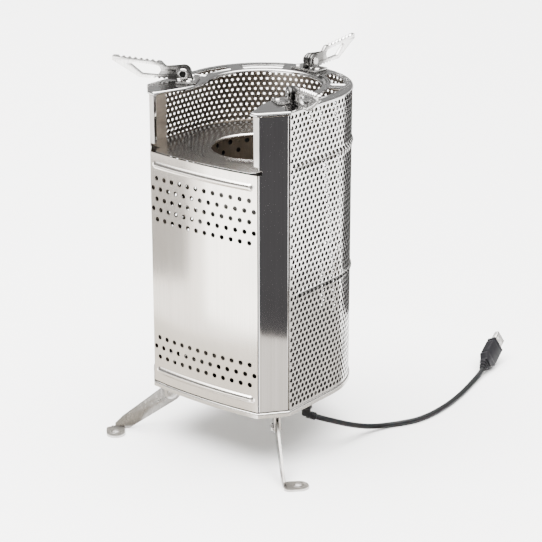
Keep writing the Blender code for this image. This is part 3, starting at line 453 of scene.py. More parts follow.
# Noise whose grain is how fine it is along each axis, in marks per metre.
def noise(tree, source, grain, detail):
    mapping = addNode(tree, "ShaderNodeMapping", {"Scale": grain, "Vector": source})
    inputs = {"Scale": 1.0, "Detail": detail, "Roughness": 0.55, "Vector": mapping.outputs["Vector"]}
    return addNode(tree, "ShaderNodeTexNoise", inputs).outputs["Fac"]


def ranged(tree, value, low, high, fromLow=0.3, fromHigh=0.7):
    inputs = {"Value": value, "From Min": fromLow, "From Max": fromHigh, "To Min": low, "To Max": high}
    return addNode(tree, "ShaderNodeMapRange", inputs).outputs["Result"]


def mixed(tree, value, first, second):
    inputs = {"Factor": value, "A": (*first, 1), "B": (*second, 1)}
    return addNode(tree, "ShaderNodeMix", inputs, data_type="RGBA").outputs["Result"]


def summed(tree, first, second):
    return addNode(tree, "ShaderNodeMath", {0: first, 1: second}, operation="ADD").outputs[0]


def bumped(tree, value, strength, height):
    inputs = {"Height": value, "Strength": strength, "Distance": height}
    return addNode(tree, "ShaderNodeBump", inputs).outputs["Normal"]


# How far each spot is from an upright axis.
def awayFrom(tree, source, centre):
    away = addNode(tree, "ShaderNodeVectorMath", {0: source, 1: centre}, operation="SUBTRACT")
    inputs = {0: away.outputs["Vector"], 1: (1, 1, 0)}
    level = addNode(tree, "ShaderNodeVectorMath", inputs, operation="MULTIPLY")
    reach = addNode(tree, "ShaderNodeVectorMath", {0: level.outputs["Vector"]}, operation="LENGTH")
    return reach.outputs["Value"]


# Rolled or brushed stainless sheet: fine streaks over slow clouds of tone.
def steelFinish(name, light, dark, rough, grain, cloud=(22, 22, 16), spread=0.07, bump=0.12, metallic=1.0,
                specular=0.5):
    made, tree, shader = newFinish(name)
    source = onObject(tree)
    streaks = noise(tree, source, grain, 4)
    clouds = noise(tree, source, cloud, 2)
    share = summed(tree, ranged(tree, streaks, 0, 0.5), ranged(tree, clouds, 0, 0.5))
    feed(tree, shader, {
        "Base Color": mixed(tree, share, light, dark),
        "Roughness": ranged(tree, streaks, rough - spread, rough + spread),
        "Metallic": metallic,
        "Specular IOR Level": specular,
        "Normal": bumped(tree, streaks, bump, 0.00006),
    })
    return made


# Steel brushed in circles about a centre, as a lathe or a spinning pad leaves it.
def turnedFinish(name, light, dark, rough, centre, rings):
    spread = 0.03
    made, tree, shader = newFinish(name)
    source = onObject(tree)
    inputs = {"Scale": rings, "Detail": 4, "W": awayFrom(tree, source, centre)}
    lines = addNode(tree, "ShaderNodeTexNoise", inputs, noise_dimensions="1D").outputs["Fac"]
    clouds = noise(tree, source, (26, 26, 26), 3)
    share = summed(tree, ranged(tree, lines, 0, 0.55), ranged(tree, clouds, 0, 0.45))
    feed(tree, shader, {
        "Base Color": mixed(tree, share, light, dark),
        "Roughness": ranged(tree, lines, rough - spread, rough + spread),
        "Metallic": 1.0,
        "Normal": bumped(tree, lines, 0.03, 0.00003),
    })
    return made


# Moulded plastic or rubber with a fine grain and a few worn, shinier patches.
def mouldedFinish(name, light, dark, rough, grain=900, bump=0.2, specular=0.5):
    spread = 0.08
    made, tree, shader = newFinish(name)
    source = onObject(tree)
    fine = noise(tree, source, (grain, grain, grain), 5)
    wear = noise(tree, source, (70, 70, 70), 3)
    feed(tree, shader, {
        "Base Color": mixed(tree, ranged(tree, wear, 0, 1, 0.35, 0.7), light, dark),
        "Roughness": ranged(tree, wear, rough - spread, rough + spread),
        "Specular IOR Level": specular,
        "Normal": bumped(tree, fine, bump, 0.00005),
    })
    return made


# Painted shade near the pivots: the steel has this dark tone out to one distance from the stove's axis, and
# its own tone past the other.
def paintRootShade(made, tone, near, far):
    tree = made.node_tree
    shader = tree.nodes["Principled BSDF"]
    ownTone = shader.inputs["Base Color"].links[0].from_socket
    reach = awayFrom(tree, onObject(tree), (stoveX * mm, stoveY * mm, 0))
    inputs = {"A": (*tone, 1), "B": ownTone, "Factor": ranged(tree, reach, 0, 1, near, far)}
    shadedTone = addNode(tree, "ShaderNodeMix", inputs, data_type="RGBA").outputs["Result"]
    feed(tree, shader, {"Base Color": shadedTone})


# Each finish has a light and a dark tone and a roughness; a steel has its grain along each axis too.
steels = {
    "guard_steel": {
        "light": (0.60, 0.59, 0.575), "dark": (0.47, 0.46, 0.45), "rough": 0.16, "grain": (300, 300, 40),
        "bump": 0.05,
    },
    # Painted shade: the guard's inside face, a dark copy of its steel.
    "guard_inner_shade": {
        "light": (0.17, 0.15, 0.13), "dark": (0.10, 0.087, 0.075), "rough": 0.3, "grain": (300, 300, 60),
    },
    # Painted shade: near-black and not metal, on the walls of punched holes, the cut edges of the panel and
    # chamber, and the bolts' sockets.
    "painted_shade_black": {
        "light": (0.008, 0.008, 0.0075), "dark": (0.004, 0.004, 0.004), "rough": 0.7,
        "grain": (600, 600, 600), "metallic": 0.0, "specular": 0.1,
    },
    "panel_steel": {
        "light": (0.70, 0.67, 0.635), "dark": (0.59, 0.565, 0.53), "rough": 0.14, "grain": (900, 900, 6),
        "bump": 0.02, "spread": 0.03,
    },
    "pillar_steel": {
        "light": (0.54, 0.53, 0.53), "dark": (0.38, 0.375, 0.37), "rough": 0.075, "grain": (760, 760, 4),
        "bump": 0.003, "spread": 0.012,
    },
    "pillar_inner_steel": {
        "light": (0.66, 0.59, 0.51), "dark": (0.42, 0.375, 0.33), "rough": 0.34, "grain": (50, 50, 420),
        "bump": 0.05,
    },
    "ring_steel": {
        "light": (0.54, 0.535, 0.53), "dark": (0.44, 0.435, 0.43), "rough": 0.13, "grain": (500, 60, 200),
        "bump": 0.012, "spread": 0.03,
    },
    "tray_steel": {
        "light": (0.59, 0.575, 0.55), "dark": (0.46, 0.45, 0.43), "rough": 0.22, "grain": (60, 500, 300),
        "bump": 0.06,
    },
    "arm_steel": {
        "light": (0.78, 0.77, 0.76), "dark": (0.66, 0.65, 0.64), "rough": 0.24, "grain": (900, 900, 120),
        "bump": 0.05,
    },
    "bracket_steel": {
        "light": (0.56, 0.55, 0.54), "dark": (0.42, 0.41, 0.40), "rough": 0.18, "grain": (700, 700, 700),
        "bump": 0.03,
    },
    # Painted dark reflection: the brackets' ears get a dark copy of the bracket's steel.
    "ear_dark_reflection": {
        "light": (0.12, 0.118, 0.115), "dark": (0.07, 0.069, 0.067), "rough": 0.24, "grain": (700, 700, 700),
        "bump": 0.04,
    },
    "leg_steel": {
        "light": (0.29, 0.28, 0.266), "dark": (0.21, 0.202, 0.192), "rough": 0.3, "grain": (420, 420, 110),
        "cloud": (70, 70, 70), "bump": 0.03,
    },
    # Painted light: the foot and eyelet are a lighter copy of the leg's steel, so that their tops look lit.
    "foot_painted_light": {
        "light": (0.50, 0.487, 0.468), "dark": (0.36, 0.35, 0.337), "rough": 0.34, "grain": (420, 420, 420),
        "bump": 0.05,
    },
    # Painted highlight: a bright steel on the cut edges of the pillars, tray, deck and ring.
    "edge_highlight_steel": {
        "light": (0.80, 0.79, 0.78), "dark": (0.64, 0.63, 0.62), "rough": 0.2, "grain": (900, 900, 900),
        "bump": 0.05,
    },
    "chamber_steel": {
        "light": (0.46, 0.41, 0.35), "dark": (0.24, 0.21, 0.18), "rough": 0.34, "grain": (260, 260, 90),
    },
    # Painted shade: a dark copy of the steel for the backs of the sheets and the parts inside the body.
    "inner_sheet_shade": {
        "light": (0.17, 0.165, 0.16), "dark": (0.11, 0.107, 0.1), "rough": 0.4, "grain": (260, 260, 60),
    },
    "shell_steel": {
        "light": (0.86, 0.84, 0.81), "dark": (0.76, 0.74, 0.71), "rough": 0.42, "grain": (700, 700, 700),
        "bump": 0.04,
    },
}
turnedSteels = {
    "bolt_steel": {
        "light": (0.46, 0.45, 0.44), "dark": (0.26, 0.255, 0.25), "rough": 0.2,
        "centre": (0, 0, 0), "rings": 1500,
    },
    "deck_steel": {
        "light": (0.93, 0.91, 0.88), "dark": (0.78, 0.765, 0.74), "rough": 0.16,
        "centre": (stoveX * mm, (stoveY + chamberY) * mm, deckTop * mm), "rings": 600,
    },
}
plastics = {
    "black_rubber": {
        "light": (0.004, 0.004, 0.0043), "dark": (0.0025, 0.0025, 0.0027), "rough": 0.5, "specular": 0.18,
    },
    "cable_jacket": {
        "light": (0.006, 0.0062, 0.007), "dark": (0.004, 0.0042, 0.0048), "rough": 0.5, "specular": 0.16,
        "grain": 1400, "bump": 0.12,
    },
    "plug_plastic": {
        "light": (0.007, 0.0066, 0.0085), "dark": (0.005, 0.0047, 0.0062), "rough": 0.5, "specular": 0.18,
        "grain": 1200,
    },
    "tongue_plastic": {"light": (0.86, 0.86, 0.85), "dark": (0.78, 0.78, 0.77), "rough": 0.45},
    "fan_plastic": {
        "light": (0.012, 0.012, 0.013), "dark": (0.007, 0.007, 0.008), "rough": 0.48, "specular": 0.3,
    },
}
# Painted shade on the pot supports' roots, near their pivots.
armRootShade = {"tone": (0.09, 0.088, 0.085), "near": 0.076, "far": 0.090}

finish = {}
for makeFinish, group in ((steelFinish, steels), (turnedFinish, turnedSteels), (mouldedFinish, plastics)):
    for finishName, values in group.items():
        finish[finishName] = makeFinish(finishName, **values)
paintRootShade(finish["arm_steel"], **armRootShade)
print("finishes made")


# The cable runs from the gland's sleeve down to the ground and round to its plug.
cableRadius = 2.3
lying = cableRadius + 0.1  # the height of its middle where it lies on the ground
cableRoute = [
    (71.4, -21.3, 33.0), (76.1, -15.3, 30.0), (78.8, -3.0, 24.0), (80.4, 11.5, 17.0), (81.8, 28.0, 10.0),
    (83.6, 42.0, 5.2), (89.0, 58.0, lying), (96.4, 70.0, lying), (102.0, 83.0, lying), (104.6, 100.0, lying),
    (104.4, 122.0, lying), (101.6, 145.0, lying), (97.8, 165.0, 2.6), (94.2, 181.0, 3.0), (91.8, 192.5, 3.7),
    (90.2, 199.6, 4.7), (89.2, 203.4, 5.6),
]


def routeTangents(points):
    ends = [2 * points[0] - points[1]] + points + [2 * points[-1] - points[-2]]
    return [(after - before) / 6 for before, after in zip(ends, ends[2:])]


def bezierLength(points, tangents):
    steps = 12
    length = 0
    for first, second, a, b in zip(points, points[1:], tangents, tangents[1:]):
        last = first
        for step in range(1, steps + 1):
            t = step / steps
            spot = (first * (1 - t) ** 3 + (first + a) * 3 * t * (1 - t) ** 2
                    + (second - b) * 3 * t ** 2 * (1 - t) + second * t ** 3)
            length += (spot - last).length
            last = spot
    return length


def makeCable():
    points = [Vector(point) for point in cableRoute]
    tangents = routeTangents(points)
    curve = bpy.data.curves.new("cable", "CURVE")
    curve.dimensions = "3D"
    curve.bevel_depth = cableRadius * mm
    curve.bevel_resolution = 6
    curve.resolution_u = 6
    curve.use_fill_caps = True
    line = curve.splines.new("BEZIER")
    line.bezier_points.add(len(points) - 1)
    for knot, point, tangent in zip(line.bezier_points, points, tangents):
        knot.handle_left_type = "FREE"
        knot.handle_right_type = "FREE"
        knot.co = toModel @ point
        knot.handle_left = toModel @ (point - tangent)
        knot.handle_right = toModel @ (point + tangent)
    curve.materials.append(finish["cable_jacket"])
    made = addObject("cable", curve)
    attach(made, "stove")
    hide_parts("usb_cable")
    return made, bezierLength(points, tangents) * mm


# A frame just off the cable's end, given with the two points beside it: +Z runs on from the cable there,
# and +X stays upright before the roll.
def cableEnd(points, roll=0):
    end, beside, beyond = [Vector(point) for point in points]
    halfway = (9 * (end + beside) - (2 * end - beside) - beyond) / 16
    z = (end - halfway).normalized()
    y = z.cross(Vector((0, 0, 1))).normalized()
    x = y.cross(z)
    return axesAt(end + z * clearance, x, y, z) @ Matrix.Rotation(math.radians(roll), 4, "Z")


# A loft through rounded rectangles, given as (place, half thickness, half width).
def lofted(rings, share, steps=5):
    shape = bmesh.new()
    loops = []
    for z, halfY, halfX in rings:
        corner = min(halfY, halfX) * share
        loop = []
        for turn, (x, y) in enumerate(((1, 1), (-1, 1), (-1, -1), (1, -1))):
            middle = (x * (halfX - corner), y * (halfY - corner))
            loop += arc(corner, turn * 90, turn * 90 + 90, steps, middle)
        loops.append([shape.verts.new((x, y, z)) for x, y in loop])
    for low, high in zip(loops, loops[1:]):
        bridge(shape, low, high)
    shape.faces.new(loops[0][::-1])
    shape.faces.new(loops[-1])
    return fromShape(shape, "lofted")


# The moulded plug: a flat block with grips on its narrow sides, and a ribbed relief on the cable.
plug = {
    "width": 15.4, "thickness": 7.6, "length": 30.0, "roll": -26.0,
    "relief": 10.0, "reliefNeck": 4.3, "reliefEnd": 2.45, "ribs": 3, "ribPitch": 2.75, "ribDepth": 0.9,
    "ribThick": (2.9, 3.45), "ribWide": (3.0, 5.5),  # from the cable's rib to the block's
    "notch": 0.6, "notchRun": 0.3, "notchFloor": 0.7, "firstNotch": 7.2, "lastNotch": 4.4,
    "grips": 7, "gripFrom": 9.6, "gripPitch": 2.1, "gripWidth": 1.4, "gripRise": 0.22, "gripSide": 1.0,
}


def plugStem():
    relief = plug["relief"]
    depth = plug["ribDepth"]
    rings = [(-0.2, plug["reliefEnd"], plug["reliefEnd"])]
    for index in range(plug["ribs"]):
        share = index / (plug["ribs"] - 1)
        start = 0.1 + index * plug["ribPitch"]
        thick, wide = [first + (last - first) * share for first, last in (plug["ribThick"], plug["ribWide"])]
        rings += [
            (start, thick - depth, wide - depth), (start + 0.3, thick, wide),
            (start + 1.5, thick + 0.05, wide + 0.1), (start + 1.8, thick - depth, wide - depth + 0.1),
        ]
    neck = plug["reliefNeck"]
    return lofted(rings + [(relief - 1.4, 2.7, neck), (relief + 2.0, 2.9, neck + 0.1)], 0.8)


def makePlug():
    thick, wide = plug["thickness"] / 2, plug["width"] / 2
    relief, notch, neck = plug["relief"], plug["notch"], plug["reliefNeck"]
    end = relief + plug["length"]
    half = [(neck, relief - 1.2), (neck + 0.2, relief + 0.9), (wide, relief + 4.6)]
    for low in (relief + plug["firstNotch"], end - plug["lastNotch"]):
        floor = low + plug["notchRun"]
        high = floor + plug["notchFloor"]
        half += [(wide, low), (wide - notch, floor), (wide - notch, high), (wide, high + plug["notchRun"])]
    half.append((wide, end))
    eased = [0, 1.0, 1.2] + [0] * 8 + [0.8]
    outline = rounded(half + mirrored(half), eased + eased[::-1], 4, True)
    parts = [upright([outline], -thick, thick), plugStem()]
    for side in (-1, 1):
        for index in range(plug["grips"]):
            low = relief + plug["gripFrom"] + index * plug["gripPitch"]
            high = low + plug["gripWidth"]
            root, crest = side * (wide - notch), side * (wide + plug["gripRise"])
            grip = [(root, low), (crest, low + 0.3), (crest, high - 0.3), (root, high)]
            parts.append(upright([grip], plug["gripSide"] - thick, thick - plug["gripSide"]))
    place = cableEnd(cableRoute[:-4:-1], plug["roll"])
    return addPiece("plug_moulding", several(parts), "stove", ["plug_plastic"], ["usb_plug"],
                    place, bevel=0.28, smoothAngle=40)


# The bright connector shell, with a pair of square windows on each broad side, and its tongue.
connector = {
    "width": 12.0, "thickness": 4.5, "length": 12.0, "wall": 0.4, "round": 0.7, "innerRound": 0.4,
    "windowAcross": 2.4, "windowWidth": 2.3, "windowFrom": 4.2, "windowLength": 2.2,
    "tongueSide": 0.7, "tongueLow": 0.25, "backSide": 0.5, "backHigh": 0.3,
}


def makeShell():
    low = plug["relief"] + plug["length"] + clearance
    high = low + connector["length"]
    halfX, halfY = connector["width"] / 2, connector["thickness"] / 2
    wall = connector["wall"]
    place = cableEnd(cableRoute[:-4:-1], plug["roll"])
    outer = rounded(oblong(-halfX, halfX, -halfY, halfY), connector["round"], 4, True)
    hollow = oblong(-halfX + wall, halfX - wall, -halfY + wall, halfY - wall)
    hollow = rounded(hollow, connector["innerRound"], 3, True)
    windows = []
    half = connector["windowWidth"] / 2
    start = low + connector["windowFrom"]
    for middle in (-connector["windowAcross"], connector["windowAcross"]):
        square = oblong(middle - half, middle + half, start, start + connector["windowLength"])
        windows.append(upright([square], -halfY - 1, halfY + 1))
    shell = addPiece("plug_shell", plate([outer, hollow], low, high), "stove", ["shell_steel"], ["usb_shell"],
                     place, bevel=0.1, cuts=windows)
    reach = halfX - connector["tongueSide"]
    strip = plate([oblong(-reach, reach, connector["tongueLow"], halfY - wall - 0.1)], low - 0.2, high - 0.8)
    tongue = addPiece("plug_tongue", strip, "stove", ["tongue_plastic"], (), place,
                      bevel=0.15)
    reach = halfX - connector["backSide"]
    filler = plate([oblong(-reach, reach, connector["backSide"] - halfY, connector["backHigh"])],
                   low - 0.1, low + 0.6)
    back = addPiece("plug_shell_back", filler, "stove", ["plug_plastic"], (), place,
                    bevel=0.1)
    return shell, tongue, back


# The cable's way in: a collar under the tray, a neck and an elbow with a ribbed sleeve.
gland = {
    "x": 65.4, "y": -26.8, "radius": 4.8, "drop": 7.5, "stem": 2.6, "stemRise": 2.5, "neck": 3.7,
    "elbow": 6.5, "groove": 0.35, "sleeve": 3.3, "sleeveLength": 7.6, "sleeveRibs": 3, "sleevePitch": 1.5,
}


def makeGland():
    stemHigh = trayTop + gland["stemRise"]
    high = trayTop - trayPlate - clearance
    low = high - gland["drop"]
    foot = low - gland["elbow"]
    radius, neck, stem = gland["radius"], gland["neck"], gland["stem"]
    groove = radius - gland["groove"]
    profile = [
        (0, stemHigh), (stem, stemHigh), (stem, high), (radius - 0.4, high), (radius, high - 0.4),
        (radius, high - 2.2), (groove, high - 2.5), (groove, high - 3.0), (radius, high - 3.3),
        (radius, low + 0.5), (radius - 0.5, low), (neck, low - 0.4), (neck, foot + 1.8),
    ]
    profile += rounded([(neck, foot + 1.8), (neck, foot), (0, foot)], 2.2, 5)[1:]
    body = lathed(profile, 32, (gland["x"], gland["y"], 0))
    big, length = gland["sleeve"], gland["sleeveLength"]
    sleeve = [(0, 0), (big - 0.55, 0), (big - 0.35, 0.15)]
    for index in range(gland["sleeveRibs"]):
        up = 0.5 + index * gland["sleevePitch"]
        sleeve += [(big - 0.45, up), (big - 0.1, up + 0.2), (big - 0.05, up + 0.9), (big - 0.4, up + 1.1)]
    sleeve += [(big - 0.2, 5.2), (big, 5.6), (big, length), (0, length)]
    tube = lathed(sleeve, 28)
    tube.transform(cableEnd(cableRoute[:3]))
    addPiece("gland", several([body, tube]), "stove", ["black_rubber"], ["cable_gland"],
             smoothAngle=45)


cable, cableLength = makeCable()
plugBody = makePlug()
shell, tongue, shellBack = makeShell()
makeGland()
print("cable made, length in metres", round(cableLength, 4))


bowRadius = (cornerX ** 2 + frontBow ** 2) / (2 * frontBow)
bowCentreY = cornerY - frontBow + bowRadius
chamferRun = Vector((backRadius - cornerX, sideFront - cornerY)).normalized()
frontCorner = Vector((cornerX, cornerY))


# Where the bowed front is, or a sheet set in behind it.
def frontY(x, inset=0.0):
    return bowCentreY - math.sqrt((bowRadius - inset) ** 2 - x ** 2)


def frontPath(reach):
    places = [-reach + 2 * reach * step / frontSteps for step in range(frontSteps + 1)]
    return [(x, frontY(x)) for x in places]


# The body's plan, anticlockwise from the right front corner, with its corners eased.
def bodyOutline(offset):
    path = [(cornerX, cornerY), (backRadius, sideFront)]
    path += arc(backRadius, 0, 180, backSteps)
    path += [(-backRadius, sideFront)]
    path += frontPath(cornerX)[:-1]
    path = leftOf(path, -offset)
    radii = [0] * len(path)
    for index in (0, 1, backSteps + 3, backSteps + 4):
        radii[index] = cornerBend
    return rounded(path, radii, 5, True)


# The guard is one perforated sheet, bent round the back, with two pressed beads.
guard = {
    "holeOut": 1.86, "holeIn": 1.0,  # the punch leaves the holes wider outside
    "firstColumn": 4.05, "edgeColumn": 1.85, "columns": 66, "topRow": 292.03, "rowPitch": 4.33, "rows": 56,
    "beads": ((145.0, -47.0), (251.7, -50.0)),  # each bead's height, and where it starts along the sides
    "beadHalf": 2.4, "beadRise": 1.2, "beadEase": 3.0,
}


def guardCells(total, low, high, radius):
    pitch = (total - 2 * guard["firstColumn"]) / (guard["columns"] - 1)
    lines = [guard["firstColumn"] + pitch * (index - 1) / 2 for index in range(2 * guard["columns"] + 1)]
    heights = [guard["topRow"] - index * guard["rowPitch"] for index in range(guard["rows"])]
    halfRow = guard["rowPitch"] / 2
    edge = guard["edgeColumn"]
    across = [0.0] + lines + [total]
    cells = row(across, heights[0] + halfRow, high) + row(across, low, heights[-1] - halfRow)
    holes = []
    for number, height in enumerate(heights):
        below, above = height - halfRow, height + halfRow
        odd = (number + 1) % 2
        middles = range(odd + 1, len(lines) - 1 - odd, 2)
        spans = [(lines[index - 1], lines[index], lines[index + 1]) for index in middles]
        if odd:
            spans += [(0.0, edge, lines[1]), (lines[-2], total - edge, total)]
        else:
            cells += row([0.0, lines[0]], below, above) + row([lines[-1], total], below, above)
        for left, middle, right in spans:
            cells += holeCell(left, middle, right, below, above, radius, height)
            holes.append((middle, height))
    return cells, holes


def makeGuard():
    first = sideFront + clearance
    straight = -first
    total = 2 * straight + math.pi * backRadius
    low = trayTop + clearance
    high = ringTop - ringEdge - clearance

    def place(s, z, inset):
        rise = 0
        for beadHeight, startY in guard["beads"]:
            margin = startY - first
            ends = min(s - margin, total - margin - s)
            ease = min(max(ends / guard["beadEase"], 0), 1)
            part = abs(z - beadHeight) / guard["beadHalf"]
            if part < 1 and ease > 0:
                rise += guard["beadRise"] * (0.5 + 0.5 * math.cos(math.pi * part)) * ease ** 0.5
        reach = backRadius + rise - inset
        if s < straight:
            return (reach, first + s, z)
        if s > total - straight:
            return (-reach, first + total - s, z)
        angle = (s - straight) / backRadius
        return (reach * math.cos(angle), reach * math.sin(angle), z)

    shape = bmesh.new()
    spots = {}

    def spot(side, s, z):
        key = (side, round(s, 3), round(z, 3))
        if key not in spots:
            spots[key] = shape.verts.new(place(s, z, side * sheet))
        return spots[key]

    # Side 0 is the outside and side 1 the inside; each has its own finish, and so have the holes. The
    # inside's dark finish and the near-black hole walls are painted shade.
    radii = (guard["holeOut"], guard["holeIn"])
    for side, radius in enumerate(radii):
        cells, holes = guardCells(total, low, high, radius)
        for cell in cells:
            corners = [spot(side, s, z) for s, z in cell]
            addFace(shape, corners[::-1] if side else corners, side)
            if not side:
                for (s0, z0), (s1, z1) in zip(cell, cell[1:] + cell[:1]):
                    onEnd = s0 == s1 and s0 in (0.0, total)
                    onEdge = z0 == z1 and z0 in (low, high)
                    if onEnd or onEdge:
                        rim = [spot(1, s0, z0), spot(1, s1, z1), spot(0, s1, z1), spot(0, s0, z0)]
                        addFace(shape, rim)
    for middle, height in holes:
        outer, inner = [holeRim(radius, middle, height) for radius in radii]
        for index in range(holeSides):
            beside = (index + 1) % holeSides
            wall = [(0, *outer[index]), (0, *outer[beside]), (1, *inner[beside]), (1, *inner[index])]
            addFace(shape, [spot(*corner) for corner in wall], 2)
    addPiece("guard_sheet", fromShape(shape, "guard"), "stove",
             ["guard_steel", "guard_inner_shade", "painted_shade_black"], ["perforated_guard"], smoothAngle=30)


makeGuard()
print("guard made")


# The front panel: two groups of staggered holes and two pressed beads.
panel = {
    "holeRadius": 2.1, "pitch": 8.64, "rowPitch": 8.6, "holes": 12,
    "groups": ((227.0, 5), (90.6, 3)),  # each group's top row and number of rows
    "beads": (61.0, 237.7), "beadHalf": 3.1, "beadRise": 2.1, "beadEnd": 51.0,
}


def makePanel():
    half = panel["pitch"] / 2
    halfRow = panel["rowPitch"] / 2
    count = int(cornerX / half)
    lines = [-cornerX] + [half * index for index in range(-count, count + 1)] + [cornerX]
    fine = []
    for a, b in zip(lines, lines[1:]):
        fine += [a + (b - a) * step / 4 for step in range(4)]
    fine.append(lines[-1])
    low = trayTop + seam
    high = deckTop - deckPlate - clearance
    cells = []
    edges = []
    for top, rows in panel["groups"]:
        for number in range(rows):
            height = top - number * panel["rowPitch"]
            below, above = height - halfRow, height + halfRow
            holes = panel["holes"] + number % 2
            centres = {round((index - (holes - 1) / 2) * panel["pitch"], 3) for index in range(holes)}
            taken = set()
            for index in range(1, len(lines) - 1):
                if round(lines[index], 3) in centres:
                    beside = lines[index - 1:index + 2]
                    cells += holeCell(*beside, below, above, panel["holeRadius"], height)
                    taken |= {index - 1, index}
            for index in range(len(lines) - 1):
                if index not in taken:
                    cells += row(lines[index:index + 2], below, above)
        edges.append((top + halfRow, top - (rows - 0.5) * panel["rowPitch"]))
    (upperHigh, upperLow), (lowerHigh, lowerLow) = edges
    for start, bead, end in ((low, panel["beads"][0], lowerLow), (upperHigh, panel["beads"][1], high)):
        levels = [bead + panel["beadHalf"] * step / 6 for step in range(-7, 8)]
        for a, b in zip(levels, levels[1:]):
            cells += row(fine, a, b)
        cells += zipped(lines, fine, start, levels[0]) + zipped(lines, fine, end, levels[-1])
    cells += row(lines, lowerHigh, upperLow)

    def place(x, z):
        rise = 0
        for bead in panel["beads"]:
            away = math.hypot(max(abs(x) - (panel["beadEnd"] - panel["beadHalf"]), 0), z - bead)
            part = away / panel["beadHalf"]
            if part < 1:
                rise = panel["beadRise"] * (1 - part ** 2) ** 0.8
        y = frontY(x)
        out = Vector((x, y - bowCentreY)).normalized() * rise
        return (x + out.x, y + out.y, z)

    addPiece("front_sheet", skin(cells, place), "stove",
             ["panel_steel", "inner_sheet_shade", "painted_shade_black"], ["front_panel"],
             thickness=sheet, rims=2, smoothAngle=28)


# A folded post: a return, a narrow front flange, the cut corner's face and a lap behind the guard.
pillar = {
    "return": 3.0, "flange": 4.3, "earEnd": 2.4, "bends": (0, 0.9, 1.1, 0, 1.6, 0),
    "slit": (2.6, 5.2),  # heights over the deck
    "skipped": (6, 11, 6, 0),  # faces left out of each level, where the deck passes
}


def makePillar(side):
    name = ("left", "right")[side > 0] + "_pillar"
    inset = sheet + clearance
    run = chamferRun
    startX = cornerX - pillar["flange"]
    flangeY = frontY(startX, inset)
    flangeCorner = frontCorner + run * ((frontY(cornerX, inset) - cornerY) / run.y)
    lapX = backRadius - inset
    lapCorner = frontCorner + run * ((lapX - cornerX) / run.x)
    earEnd = frontCorner + run * (pillar["earEnd"] / run.x)
    points = [
        (startX, flangeY + pillar["return"]), (startX, flangeY), tuple(flangeCorner), tuple(earEnd),
        tuple(lapCorner), (lapX, lapCorner.y + cornerLap),
    ]
    path = rounded(points, pillar["bends"], 4)
    slitLow, slitHigh = [deckTop + rise for rise in pillar["slit"]]
    levels = [trayTop + seam, deckTop - deckPlate - clearance, slitLow, slitHigh, ringTop - ringEdge - seam]
    cells = []
    for skipped, low, high in zip(pillar["skipped"], levels, levels[1:]):
        cells += row(range(skipped, len(path)), low, high)
    if side < 0:
        cells = [[(len(path) - 1 - index, z) for index, z in cell[::-1]] for cell in cells]
        path = mirrored(path)
    body = skin(cells, lambda index, z: (*path[int(index)], z))
    addPiece(name + "_sheet", body, "stove", ["pillar_steel", "pillar_inner_steel", "edge_highlight_steel"], [name],
             thickness=sheet, rims=2, smoothAngle=30)


makePanel()
for pillarSide in (-1, 1):
    makePillar(pillarSide)
print("panel and pillars made")


# The base tray, with air slots under the fan and a small tab at its left front corner.
tray = {
    "overhang": 0.9, "edge": 4.2, "bend": 1.5, "slots": 12, "inner": 13.0, "outer": 26.0,
    "width": 3.4, "tabLow": -1.2, "tabHeight": 12.0, "tabFrom": 0.3, "tabWidth": 7.0, "tabPlate": 0.7,
}


def makeTray():
    loops = [bodyOutline(tray["overhang"])]
    profiles = [turnedEdge(tray["edge"], tray["bend"])]
    half = tray["width"] / 2
    outline = arc(half, 90, 270, 6, (tray["inner"] + half, 0))
    outline += arc(half, -90, 90, 6, (tray["outer"] - half, 0))
    for index in range(tray["slots"]):
        turn = Matrix.Rotation(2 * math.pi * index / tray["slots"], 2)
        loops.append([tuple(turn @ Vector(point)) for point in outline])
        profiles.append([(0.5, 0), (0.15, 0), (0, -0.15)])
    loops.append(circle(gland["stem"] + clearance, 20, (gland["x"], gland["y"])))
    profiles.append([(0.4, 0), (0, 0)])
    addPiece("tray_sheet", pressedSheet(loops, profiles, trayTop), "stove",
             ["tray_steel", "tray_steel", "edge_highlight_steel"], ["base_tray"], thickness=trayPlate, rims=2,
             smoothAngle=32)
    foot = frontCorner + Vector((chamferRun.y, -chamferRun.x)) * tray["overhang"]
    edge = [tuple(foot + chamferRun * reach) for reach in (tray["tabFrom"], tray["tabWidth"])]
    loop = edge + leftOf(edge, tray["tabPlate"], False)[::-1]
    tab = plate([mirrored(loop)], trayTop + tray["tabLow"], trayTop + tray["tabHeight"])
    addPiece("tray_corner_tab", tab, "stove", ["tray_steel"], (), bevel=0.3)


# The deck, with a dished burner hole and a rounded ear at each front corner.
deck = {
    "burner": 37.6, "lip": 2.4, "bend": 1.8, "dish": 60.0, "dishDepth": 2.8, "dishSteps": 12,
    "dishCurve": 1.15, "ear": (44.5, -69.9), "earRadius": 7.6, "earTurn": (-80, 20), "gate": 14.0,
    "lapStep": 0.6, "thinner": 0.35,
}


